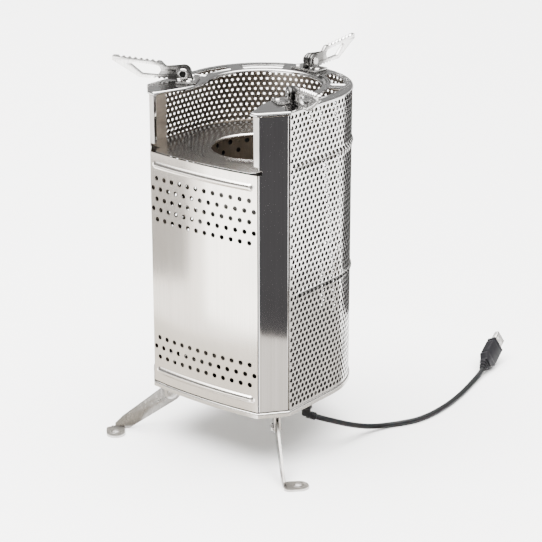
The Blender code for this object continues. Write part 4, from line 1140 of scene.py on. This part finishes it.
def makeDeck():
    run = chamferRun
    inner = sheet + clearance
    sideX = backRadius - 2 * inner
    lapEnd = sideFront + cornerLap
    gate = frontCorner + Vector((-run.y, run.x)) * (sheet + 2 * clearance) + run * deck["gate"]
    shoulder = gate + run * ((sideX - gate.x) / run.x)
    ear = arc(deck["earRadius"], *deck["earTurn"], 20, deck["ear"])
    right = ear + [tuple(gate), tuple(shoulder), (sideX, lapEnd), (sideX + inner, lapEnd + deck["lapStep"])]
    back = arc(sideX + inner, 0, 180, backSteps)
    outline = right + back + mirrored(right) + frontPath(deck["ear"][0])
    hole = circle(deck["burner"], 72, (0, chamberY))
    edge = [(0.9, 0), (0.35, 0), (0.1, -0.1), (0, -0.35)]
    wide = deck["dish"] - deck["burner"]
    bend = deck["bend"]
    slope = [(wide + 0.7, 0), (wide, 0)]
    for step in range(1, deck["dishSteps"]):
        part = step / deck["dishSteps"]
        slope.append((wide + (bend - wide) * part, -deck["dishDepth"] * part ** deck["dishCurve"]))
    lip = [(inset, rise - deck["dishDepth"]) for inset, rise in turnedEdge(deck["lip"], bend)[1:]]
    body = pressedSheet([outline, hole], [edge, slope + lip], deckTop)
    addPiece("deck_sheet", body, "stove", ["deck_steel", "inner_sheet_shade", "edge_highlight_steel"],
             ["deck_plate"], thickness=deckPlate - deck["thinner"], rims=2, smoothAngle=32)


# The fire chamber, seen down through the deck's hole: a spun cup with punched air holes.
chamber = {
    "depth": 132.0, "ledge": 5.0, "ledgeDepth": 120.0, "flange": 50.8, "bends": (0, 0.8, 1.0, 1.0, 1.5, 0),
    "airHole": 2.0, "air": 16, "rows": (8.6, 16.2), "rowHalf": 3.4, "primary": 114.0, "turn": 7.7,
    "columns": 96,
}
chamberTop = deckTop - deck["dishDepth"] - deckPlate - clearance


def makeChamber():
    near = 0.01
    top = chamberTop
    inner = deck["burner"] + deckPlate + clearance
    ledge = inner - chamber["ledge"]
    floor = top - chamber["depth"] + sheet
    step = top - chamber["ledgeDepth"]
    points = [(chamber["flange"], top), (inner, top), (inner, step), (ledge, step), (ledge, floor)]
    outline = rounded(points + [(near, floor)], chamber["bends"], 3)
    columns = chamber["columns"]
    perHole = columns // chamber["air"]
    holeRows = [
        (deckTop - drop, chamber["air"], number * perHole // 2) for number, drop in enumerate(chamber["rows"])
    ]
    holeRows.append((deckTop - chamber["primary"], chamber["air"] // 2, 0))
    wallHeights = [z for r, z in outline if abs(r - inner) < near]
    marks = [max(wallHeights)]
    for height, _, _ in holeRows:
        marks += [height + chamber["rowHalf"], height - chamber["rowHalf"]]
    marks.append(min(wallHeights))
    turn = 360 / columns
    shape = bmesh.new()
    spots = {}

    def corner(radius, angle, z):
        turned = math.radians(angle + chamber["turn"])
        key = (round(radius * math.cos(turned), 3), round(radius * math.sin(turned), 3), round(z, 3))
        if key not in spots:
            spots[key] = shape.verts.new((key[0], key[1] + chamberY, key[2]))
        return spots[key]

    def face(points):
        addFace(shape, [corner(*point) for point in points])

    # The upright wall is left to the rows of holes.
    for (r0, z0), (r1, z1) in zip(outline, outline[1:]):
        if abs(r0 - inner) < near and abs(r1 - inner) < near and z0 - z1 > chamber["ledgeDepth"] / 2:
            continue
        for index in range(columns):
            a, b = index * turn, (index + 1) * turn
            face([(r0, a, z0), (r1, a, z1), (r1, b, z1), (r0, b, z0)])
    # A hole is drawn as a circle of radius 1 in degrees and millimetres, then brought to its size.
    holeTurn = math.degrees(chamber["airHole"] / inner)
    for number, (high, low) in enumerate(zip(marks, marks[1:])):
        centres = {}
        if number % 2:
            height, count, shift = holeRows[number // 2]
            centres = {(shift + index * columns // count) % columns for index in range(count)}
        for index in range(columns):
            if index in centres:
                middle = index * turn
                for cell in holeCell(middle - turn, middle, middle + turn, low, high, 1.0, height):
                    points = []
                    for angle, z in cell:
                        if abs(angle - middle) <= 1.0001 and low + near < z < high - near:
                            angle = middle + (angle - middle) * holeTurn
                            z = height + (z - height) * chamber["airHole"]
                        points.append((inner, angle, z))
                    face(points[::-1])
            if index not in centres and (index + 1) % columns not in centres:
                a, b = index * turn, (index + 1) * turn
                face([(inner, a, high), (inner, a, low), (inner, b, low), (inner, b, high)])
    bmesh.ops.recalc_face_normals(shape, faces=shape.faces)
    probe = min(shape.faces, key=lambda item: item.calc_center_median().z)
    if probe.normal.z < 0:
        bmesh.ops.reverse_faces(shape, faces=shape.faces)
    addPiece("chamber_cup", fromShape(shape, "chamber"), "stove",
             ["chamber_steel", "inner_sheet_shade", "painted_shade_black"], ["fire_chamber"],
             thickness=sheet, rims=2, smoothAngle=32)


grate = {"plate": 1.5, "hole": 3, "rings": ((13, 6), (26, 12))}


def makeGrate():
    low = chamberTop - chamber["ledgeDepth"] + clearance
    loops = [circle(deck["burner"] + deckPlate, 64), circle(grate["hole"], 20)]
    for radius, count in grate["rings"]:
        for middle in circle(radius, count):
            loops.append(circle(grate["hole"], 20, middle))
    body = plate(loops, low, low + grate["plate"])
    body.transform(Matrix.Translation((0, chamberY, 0)))
    addPiece("grate_disc", body, "stove", ["chamber_steel"], ["grate"], bevel=0.25)


makeTray()
makeDeck()
makeChamber()
makeGrate()
print("tray, deck, chamber and grate made")


# The top ring: a pressed sheet with turned edges and four slots whose lips stand up.
ring = {
    "overhang": 0.6, "sheet": 0.7, "bend": 1.5, "hole": 46.0, "holeEnd": -30.0, "holeSteps": 72,
    "wingTip": 48.5, "leftWing": ((-72.0, -60.0), (-57.0, -75.9)),
    "throat": ((45.4, -69.5), (42.3, -60.3), (38.8, -49.4), (37.9, -41.5), (38.5, -32.0)),
    "cornerOut": 0.4, "shoulderDown": 0.2, "shoulderBend": 2.9, "throatBends": (9, 9, 9, 9, 6),
    "slotInner": 54.0, "slotOuter": 64.5, "slotTaper": 0.35, "slotBend": 1.5, "slotSteps": 14,
    "slots": ((-12.0, 21.0), (33.5, 67.5), (112.5, 146.5), (159.0, 192.0)),
    "lip": ((2.6, 0), (1.9, 0), (1.5, 0.12), (1.15, 0.42), (0.85, 0.64), (0.5, 0.72), (0.15, 0.6), (0, 0.3),
            (0, -0.9)),
}


def makeRing():
    side = backRadius + ring["overhang"]
    corner = (cornerX + ring["cornerOut"], cornerY - ring["overhang"])
    right = [corner, (side, sideFront - ring["shoulderDown"])]
    throat = [(ring["wingTip"], frontY(ring["wingTip"]) - ring["overhang"])] + list(ring["throat"])
    hole = arc(ring["hole"], ring["holeEnd"], 180 - ring["holeEnd"], ring["holeSteps"])
    left = [(-x, y) for x, y in throat]
    back = arc(side, 0, 180, backSteps)
    outline = right + back + list(ring["leftWing"]) + left + hole[::-1] + throat[::-1]
    front = [cornerBend, ring["shoulderBend"]]
    bends = [cornerBend] + list(ring["throatBends"])
    radii = front + [0] * len(back) + front[::-1] + bends + [0] * len(hole) + bends[::-1]
    loops = [rounded(outline, radii, 4, True)]
    profiles = [turnedEdge(ringEdge, ring["bend"])]
    for first, last in ring["slots"]:
        inner = arc(ring["slotInner"], last - ring["slotTaper"], first + ring["slotTaper"], ring["slotSteps"])
        outer = arc(ring["slotOuter"], first, last, ring["slotSteps"])
        ends = [ring["slotBend"]] + [0] * (len(outer) - 2) + [ring["slotBend"]]
        loops.append(rounded(outer + inner, ends * 2, 4, True))
        profiles.append(ring["lip"])
    addPiece("ring_sheet", pressedSheet(loops, profiles, ringTop), "stove",
             ["ring_steel", "pillar_inner_steel", "edge_highlight_steel"], ["top_ring"], thickness=ring["sheet"],
             rims=2, smoothAngle=32)


makeRing()
print("ring made")


# Pot supports. In their own frame u runs out from the pivot and v up from it.
arm = {
    "angles": {"back": 90.0, "left": 211.5, "right": -31.5},
    "radii": {"back": 62.7, "left": 64.6, "right": 64.6},
    "rise": 6.7, "thickness": 2.5, "root": 6.4, "neck": (14.1, 5.0), "step": (18.1, 9.1),
    "topEnd": (55.9, 13.1), "tipLow": (58.4, 9.0), "tipRound": 1.7, "lowCorner": (36.0, -4.7),
    "teeth": 8, "toothDepth": 1.3,
    "toothTip": 0.09, "lowTeeth": 5, "lowFrom": 10.0, "lowTo": 30.0, "windowBend": 1.6,
    "window": ((19.6, 4.4), (21.4, 5.5), (41.2, 7.6), (43.0, 6.2), (33.6, -1.4), (20.9, -2.2), (18.4, 1.6)),
}
bracket = {
    "plate": 1.5, "in": 11.5, "out": 5.2, "half": 13.5, "slotIn": 8.0, "ear": 2.0, "earRound": 6.0,
    "plateBends": (2.5, 2.5, 0.4, 0.6, 0.6, 0.4, 2.5, 2.5), "fillet": 1.3,
    "rivet": 2.6, "rivetRise": 1.3, "rivetIn": 5.2, "rivetSide": 9.9,
}
pin = {
    "radius": 2.0, "play": 0.3, "head": 4.5, "rise": 2.4, "hex": 2.9, "hexDepth": 1.4, "tail": 0.9,
    "peen": 1.2,
}


# A row of rounded teeth whose tips lie on the line between its ends.
def teeth(start, end, count):
    run = Vector(end) - Vector(start)
    left = Vector((-run.y, run.x)).normalized()
    across = run / count * arm["toothTip"]
    points = []
    for index in range(count):
        middle = Vector(start) + run * ((index + 0.5) / count)
        low = Vector(start) + run * ((index + 1) / count) + left * arm["toothDepth"]
        points += [tuple(middle - across), tuple(middle + across)]
        if index < count - 1:
            points += [tuple(low - across), tuple(low + across)]
    return points


def armOutline():
    root = arc(arm["root"], 90, 270, 24)
    lowX, lowY = arm["lowCorner"]
    slope = (lowY + arm["root"]) / lowX
    lowLine = [(u, slope * u - arm["root"]) for u in (arm["lowFrom"], arm["lowTo"])]
    lowTeeth = teeth(*lowLine, arm["lowTeeth"])
    topTeeth = teeth(arm["topEnd"], arm["step"], arm["teeth"])
    tip = arc(arm["tipRound"], -35, 75, 8, (arm["topEnd"][0] + 0.6, arm["topEnd"][1] - arm["tipRound"]))
    lowEdge = rounded([lowTeeth[-1], arm["lowCorner"], arm["tipLow"], tip[0]], [0, 3.0, 1.0, 0], 4)[1:-1]
    neck = rounded([topTeeth[-1], arm["step"], arm["neck"], root[0]], [0, 0.8, 2.5, 0], 4)[1:-1]
    return root + lowTeeth + lowEdge + tip + topTeeth + neck


# The mesh with all of its faces given to its piece's second finish.
def painted(mesh):
    for polygon in mesh.polygons:
        polygon.material_index = 1
    return mesh


def rivet(place, up):
    radius, rise = bracket["rivet"], bracket["rivetRise"]
    points = [(0, rise), (radius * 0.72, rise), (radius, rise * 0.25), (radius, -0.2)]
    profile = rounded(points, [0, radius * 0.5, 0.3, 0], 4) + [(0, -0.2)]
    head = lathed(profile, 24)
    if up < 0:
        head.transform(Matrix.Scale(-1, 4, (0, 0, 1)))
        head.flip_normals()
    head.transform(Matrix.Translation(place))
    return head


# A pin through both ears: a domed head on one side, and its peened end on the other.
def pinMesh(reach, head, rise):
    tail = -reach - pin["tail"]
    radius = pin["radius"]
    peened = radius + pin["peen"]
    top = reach + rise
    dome = [(head - 2.2, top), (head - 0.6, top - 0.1), (head, reach + rise * 0.55), (head, reach)]
    profile = [(0, top)] + rounded(dome, [0, 0.8, 0.8, 0], 3)
    profile += [(radius, reach), (radius, -reach), (peened, -reach)]
    profile += rounded([(peened, -reach), (peened, tail), (0, tail)], 0.5, 3)[1:]
    return lathed(profile, 32)


# The inside of a bend between a level plate and an upright ear, along u from start to end.
def filletStrip(start, end, side, away, foot, radius):
    sunk = 0.05  # into the faces beside it
    side = away * (side - sunk)
    foot -= sunk
    steps = 4
    section = [(0, 0), (0, radius)]
    for step in range(1, steps + 1):
        angle = math.radians(90 * step / steps)
        section.append((radius * (1 - math.cos(angle)), radius * (1 - math.sin(angle))))
    shape = bmesh.new()
    first = [shape.verts.new((start, side + away * y, foot + z)) for y, z in section]
    last = [shape.verts.new((end, side + away * y, foot + z)) for y, z in section]
    bridge(shape, first, last)
    shape.faces.new(first)
    shape.faces.new(last[::-1])
    bmesh.ops.recalc_face_normals(shape, faces=shape.faces)
    return fromShape(shape, "fillet")


# Two ears beside a gap, each a side outline with its pivot hole.
def ears(side, hole, gap, thickness):
    made = []
    for sign in (-1, 1):
        near, far = sorted((sign * gap, sign * (gap + thickness)))
        made.append(upright([side, hole], near, far))
    return made


def makeBracket(where, place, gap, hole):
    base = clearance - arm["rise"]
    plateTop = base + bracket["plate"]
    half, near, far = bracket["half"], -bracket["in"], bracket["out"]
    slotIn = -bracket["slotIn"]
    outline = [(near, -half), (far, -half), (far, -gap), (slotIn, -gap)]
    outline += [(x, -y) for x, y in reversed(outline)]
    parts = [plate([rounded(outline, bracket["plateBends"], 4, True)], base, plateTop)]
    earRound = bracket["earRound"]
    side = arc(earRound, 0, 180, 20) + [(-earRound - 0.8, base + 0.2), (far - 0.2, base + 0.2)]
    earSide = gap + bracket["ear"]
    # The ears take the second, dark finish: a painted dark reflection.
    for sign, ear in zip((-1, 1), ears(side, hole, gap, bracket["ear"])):
        fold = filletStrip(-earRound - 0.6, far - 0.5, earSide, sign, plateTop, bracket["fillet"])
        stud = rivet((-bracket["rivetIn"], sign * bracket["rivetSide"], plateTop), 1)
        parts += [painted(ear), fold, stud]
    addPiece(where + "_bracket", several(parts), "stove", ["bracket_steel", "ear_dark_reflection"],
             [where + "_arm_bracket"], place=place, bevel=0.25)


def makeArm(where):
    turn = Matrix.Rotation(math.radians(arm["angles"][where]), 4, "Z")
    place = turn @ Matrix.Translation((arm["radii"][where], 0, ringTop + arm["rise"]))
    gap = arm["thickness"] / 2 + clearance
    hole = circle(pin["radius"] + pin["play"], 24)
    makeBracket(where, place, gap, hole)
    window = rounded(arm["window"], arm["windowBend"], 4, True)
    blade = upright([armOutline(), window, hole], -arm["thickness"] / 2, arm["thickness"] / 2)
    addPiece(where + "_blade", blade, where + "_pot_support", ["arm_steel"], [where + "_arm"], place=place,
             bevel=0.35)
    reach = gap + bracket["ear"] + clearance
    headTop = reach + pin["rise"]
    floor = headTop - pin["hexDepth"]
    hexagon = pin["hex"]
    socket = lathed([(0, floor), (hexagon, floor), (hexagon, headTop + 1), (0, headTop + 1)], 6)
    lay = place @ Matrix.Rotation(math.radians(-90), 4, "X")
    body = bodyOf(where + "_arm_bolt")
    addPiece(where + "_bolt", pinMesh(reach, pin["head"], pin["rise"]), body, ["bolt_steel"],
             [where + "_arm_bolt"], place=lay, bevel=0.12, cuts=[socket])
    # A near-black hexagon at the socket's floor: painted shade in the socket.
    hexagon -= 0.1
    shade = lathed([(0, floor + 0.2), (hexagon, floor + 0.2), (hexagon, floor + 0.02), (0, floor + 0.02)], 6)
    addPiece(where + "_bolt_socket_shade", shade, body, ["painted_shade_black"], (), place=lay)


for armWhere in arm["angles"]:
    makeArm(armWhere)
print("pot supports made")


# A folded strip leg with a flat foot, whose eyelet is rolled over at the top.
leg = {
    "angles": {"back": 90.0, "left": 224.0, "right": -44.0},
    "radii": {"back": 61.0, "left": 79.0, "right": 79.0},
    "drop": 18.5, "thickness": 1.8, "root": 8.0, "shoulder": (41.2, -20.4), "toe": (47.6, -26.8),
    "heel": 36.0, "bends": (0, 1.2, 0, 1.0, 5.0, 0), "fillet": 1.4, "foldIn": 0.5, "foldOut": 4.5,
    "footLength": 20.5, "footPlate": 1.8, "footWidth": 15.5, "footMiddle": 47.4,
    "hole": 2.8, "holeOut": 11.0, "eyelet": 4.9, "eyeletRise": 0.7,
}
legBracket = {
    "plate": 1.5, "half": 11.0, "in": 8.5, "out": 6.8, "plateBend": 2.0, "ear": 1.5, "earRound": 5.4,
    "head": 3.6, "rise": 2.0, "rivetIn": 3.5, "rivetSide": 3.6,
}


# Where a line from a point touches a circle about the origin, in degrees.
def tangentAngle(radius, point, side):
    distance = math.hypot(*point)
    return math.degrees(math.atan2(point[1], point[0]) + side * math.acos(radius / distance))


def makeHanger(where, place, gap, hole):
    top = leg["drop"] - trayPlate - clearance
    low = top - legBracket["plate"]
    near, far, half = -legBracket["in"], legBracket["out"], legBracket["half"]
    outline = rounded(oblong(near, far, -half, half), legBracket["plateBend"], 4, True)
    parts = [plate([outline], low, top)]
    earRound = legBracket["earRound"]
    side = arc(earRound, 180, 360, 18) + [(earRound - 0.2, top - 0.2), (-earRound, top - 0.2)]
    for sign, ear in zip((-1, 1), ears(side, hole, gap, legBracket["ear"])):
        stud = rivet((-legBracket["rivetIn"], sign * (half - legBracket["rivetSide"]), low), -1)
        parts += [ear, stud]
    addPiece(where + "_leg_hanger", several(parts), "stove", ["bracket_steel"], [where + "_leg_bracket"],
             place=place, bevel=0.25)


def footParts(ground):
    half = leg["footWidth"] / 2
    middle = leg["footMiddle"]
    near = 0.2 - leg["thickness"] / 2
    far = leg["footLength"] - leg["thickness"] / 2
    footTop = ground + leg["footPlate"]
    pad = [(middle - half, near)] + arc(half / 2, -90, 0, 5, (middle + half / 2, near + half / 2))
    pad += arc(half, 0, 180, 20, (middle, far - half))
    eye = circle(leg["hole"], 24, (middle, leg["holeOut"]))
    first, last = middle - half + leg["foldIn"], middle + half - leg["foldOut"]
    fold = filletStrip(first, last, leg["thickness"] / 2, 1, footTop, leg["fillet"])
    outer, inner, top = leg["eyelet"], leg["hole"], footTop + leg["eyeletRise"]
    rolled = [
        (outer, ground + 1.0), (outer, top - 0.35), (outer - 0.35, top), (inner + 0.45, top),
        (inner + 0.1, top - 0.2), (inner, top - 0.6), (inner, ground + 0.3), (outer, ground + 1.0),
    ]
    eyelet = lathed(rolled, 32, (middle, leg["holeOut"], 0))
    # The pad and the eyelet take the leg's second, lighter finish: painted light.
    return [painted(plate([pad, eye], ground, footTop)), fold, painted(eyelet)]


def makeLeg(where):
    turn = Matrix.Rotation(math.radians(leg["angles"][where]), 4, "Z")
    place = turn @ Matrix.Translation((leg["radii"][where], 0, trayTop - leg["drop"]))
    gap = leg["thickness"] / 2 + clearance
    hole = circle(pin["radius"] + pin["play"], 24)
    makeHanger(where, place, gap, hole)
    ground = leg["drop"] - trayTop
    upper = tangentAngle(leg["root"], leg["shoulder"], 1)
    lower = tangentAngle(leg["root"], (leg["heel"], ground + leg["footPlate"]), -1)
    root = arc(leg["root"], upper, lower + 360, 26)
    shin = [root[-1], (leg["heel"], ground), (leg["toe"][0], ground), leg["toe"], leg["shoulder"], root[0]]
    strip = root + rounded(shin, leg["bends"], 4)[1:-1]
    parts = [upright([strip, hole], -leg["thickness"] / 2, leg["thickness"] / 2)] + footParts(ground)
    addPiece(where + "_leg_strip", several(parts), where + "_leg_body", ["leg_steel", "foot_painted_light"],
             [where + "_leg"], place=place, bevel=0.22)
    pivot = pinMesh(gap + legBracket["ear"] + clearance, legBracket["head"], legBracket["rise"])
    lay = place @ Matrix.Rotation(math.radians(90), 4, "X")
    node = where + "_leg_pin"
    addPiece(where + "_leg_rivet", pivot, bodyOf(node), ["bolt_steel"], [node], place=lay)


for legWhere in leg["angles"]:
    makeLeg(legWhere)
print("legs made")


# What stays as the model has it gets its finish; the inner sheets get the dark inner one, painted shade.
kept = {
    "air_jacket": "inner_sheet_shade", "plenum_plate": "inner_sheet_shade", "fan_frame": "fan_plastic",
    "fan_rotor": "fan_plastic", "fan_lead": "cable_jacket", "spacer_post_1": "bracket_steel",
    "spacer_post_2": "bracket_steel", "spacer_post_3": "bracket_steel", "spacer_post_4": "bracket_steel",
}
for nodeName, nodeFinish in kept.items():
    frame["nodes"][nodeName].material_slots[0].material = finish[nodeFinish]
print("inner parts finished")


# The studio, in metres: a pale floor and far wall, a dim room that is bright overhead, and one soft light.
# Cards on the floor show as reflections in the bright steel.
studio = {
    "sky": 15.0, "dim": 0.032, "dimTo": 0.62, "brightFrom": 0.9, "skyTone": (1.0, 0.99, 0.975),
    "floorHalf": 4, "floorTones": ((0.90, 0.90, 0.90), (0.87, 0.87, 0.87)),
    "wallRadius": 3.9, "wallHeight": 5.0, "wallSides": 48,
    "lightSpot": (-0.6, -1.0, 2.2), "lightTarget": (0, 0, 0.15), "lightSize": 1.2, "lightPower": 60,
}
cards = {
    "right_card": {
        "tone": (0.024, 0.0235, 0.0245), "height": 0.002,
        "corners": ((0.37, 0.10), (0.272, -0.36), (1.3, -3.2), (3.6, 1.0)),
    },
    "corner_card": {
        "tone": (0.34, 0.32, 0.295), "height": 0.004,
        "corners": ((0.08, -0.04), (0.06, -0.13), (0.272, -0.36), (0.36, 0.0)),
    },
    "back_card": {
        "tone": (0.05, 0.05, 0.05), "height": 0.002,
        "corners": ((0.14, 0.30), (0.5, 1.8), (-1.2, 1.8), (-0.16, 0.26)),
    },
    "side_card": {
        "tone": (0.30, 0.29, 0.275), "height": 0.003,
        "corners": ((0.085, -0.05), (0.44, 0.10), (0.26, 0.46), (0.085, 0.16)),
    },
    "front_card": {
        "tone": (0.53, 0.51, 0.48), "height": 0.002,
        "corners": ((0.0, -0.11), (-0.1, -1.4), (-1.5, -0.6), (-0.12, -0.07)),
    },
    "near_card": {
        "tone": (0.32, 0.30, 0.268), "height": 0.003,
        "corners": ((0.03, -0.11), (-0.03, -0.34), (-0.32, -0.22), (-0.12, -0.07)),
    },
    "left_card": {
        "tone": (0.15, 0.143, 0.135), "height": 0.004,
        "corners": ((-0.415, -0.25), (-0.292, -0.372), (-0.60, -0.70), (-0.86, -0.50)),
    },
    "bright_card": {
        "tone": (1.0, 0.99, 0.96), "height": 0.005,
        "corners": ((-0.19, -0.325), (-0.02, -0.35), (-0.22, -0.90), (-0.53, -0.74)),
    },
}


def floorFinish():
    made, tree, shader = newFinish("pale_floor")
    tone = noise(tree, onObject(tree), (3, 3, 3), 2)
    feed(tree, shader, {"Base Color": mixed(tree, tone, *studio["floorTones"]), "Roughness": 0.7})
    return made


def cardFinish(name, tone):
    made, tree, shader = newFinish(name)
    feed(tree, shader, {"Base Color": (*tone, 1), "Roughness": 0.9, "Specular IOR Level": 0.0})
    return made


# A piece of the studio, and whether the camera, reflections and soft light see it.
def addStage(name, shape, material, camera=True, glossy=True, light=True):
    mesh = fromShape(shape, name)
    mesh.materials.append(material)
    made = addObject(name, mesh)
    made.visible_camera = camera
    made.visible_glossy = glossy
    made.visible_diffuse = light
    made.visible_shadow = light


def makeFloor():
    pale = floorFinish()
    shape = bmesh.new()
    bmesh.ops.create_grid(shape, x_segments=1, y_segments=1, size=studio["floorHalf"])
    addStage("studio_floor", shape, pale)
    shape = bmesh.new()
    plan = circle(studio["wallRadius"], studio["wallSides"])
    foot, top = [[shape.verts.new((x, y, z)) for x, y in plan] for z in (0, studio["wallHeight"])]
    bridge(shape, foot, top)
    addStage("studio_wall", shape, pale, glossy=False, light=False)


# The surround is dim up to one height and brightens above it.
def makeSurround():
    world = bpy.data.worlds.new("soft_surround")
    world.use_nodes = True
    tree = world.node_tree
    direction = tree.nodes.new("ShaderNodeTexCoord").outputs["Generated"]
    split = addNode(tree, "ShaderNodeSeparateXYZ", {"Vector": direction})
    inputs = {
        "Value": split.outputs["Z"], "From Min": studio["dimTo"], "From Max": studio["brightFrom"],
        "To Min": studio["dim"], "To Max": 1.0,
    }
    rise = addNode(tree, "ShaderNodeMapRange", inputs, interpolation_type="SMOOTHSTEP")
    inputs = {0: rise.outputs["Result"], 1: studio["sky"]}
    power = addNode(tree, "ShaderNodeMath", inputs, operation="MULTIPLY")
    tone = (*studio["skyTone"], 1)
    feed(tree, tree.nodes["Background"], {"Color": tone, "Strength": power.outputs["Value"]})
    bpy.context.scene.world = world


def makeLight():
    data = bpy.data.lights.new("key_light", "AREA")
    data.shape = "RECTANGLE"
    data.size = studio["lightSize"]
    data.size_y = studio["lightSize"]
    data.energy = studio["lightPower"]
    aim = Vector(studio["lightTarget"]) - Vector(studio["lightSpot"])
    turn = aim.to_track_quat("-Z", "Y").to_matrix().to_4x4()
    made = addObject("key_light", data)
    made.matrix_world = Matrix.Translation(studio["lightSpot"]) @ turn


makeFloor()
makeSurround()
for cardName, card in cards.items():
    cardShape = bmesh.new()
    cardShape.faces.new([cardShape.verts.new((*corner, card["height"])) for corner in card["corners"]])
    addStage(cardName, cardShape, cardFinish(cardName, card["tone"]), camera=False, light=False)
makeLight()
print("studio made")
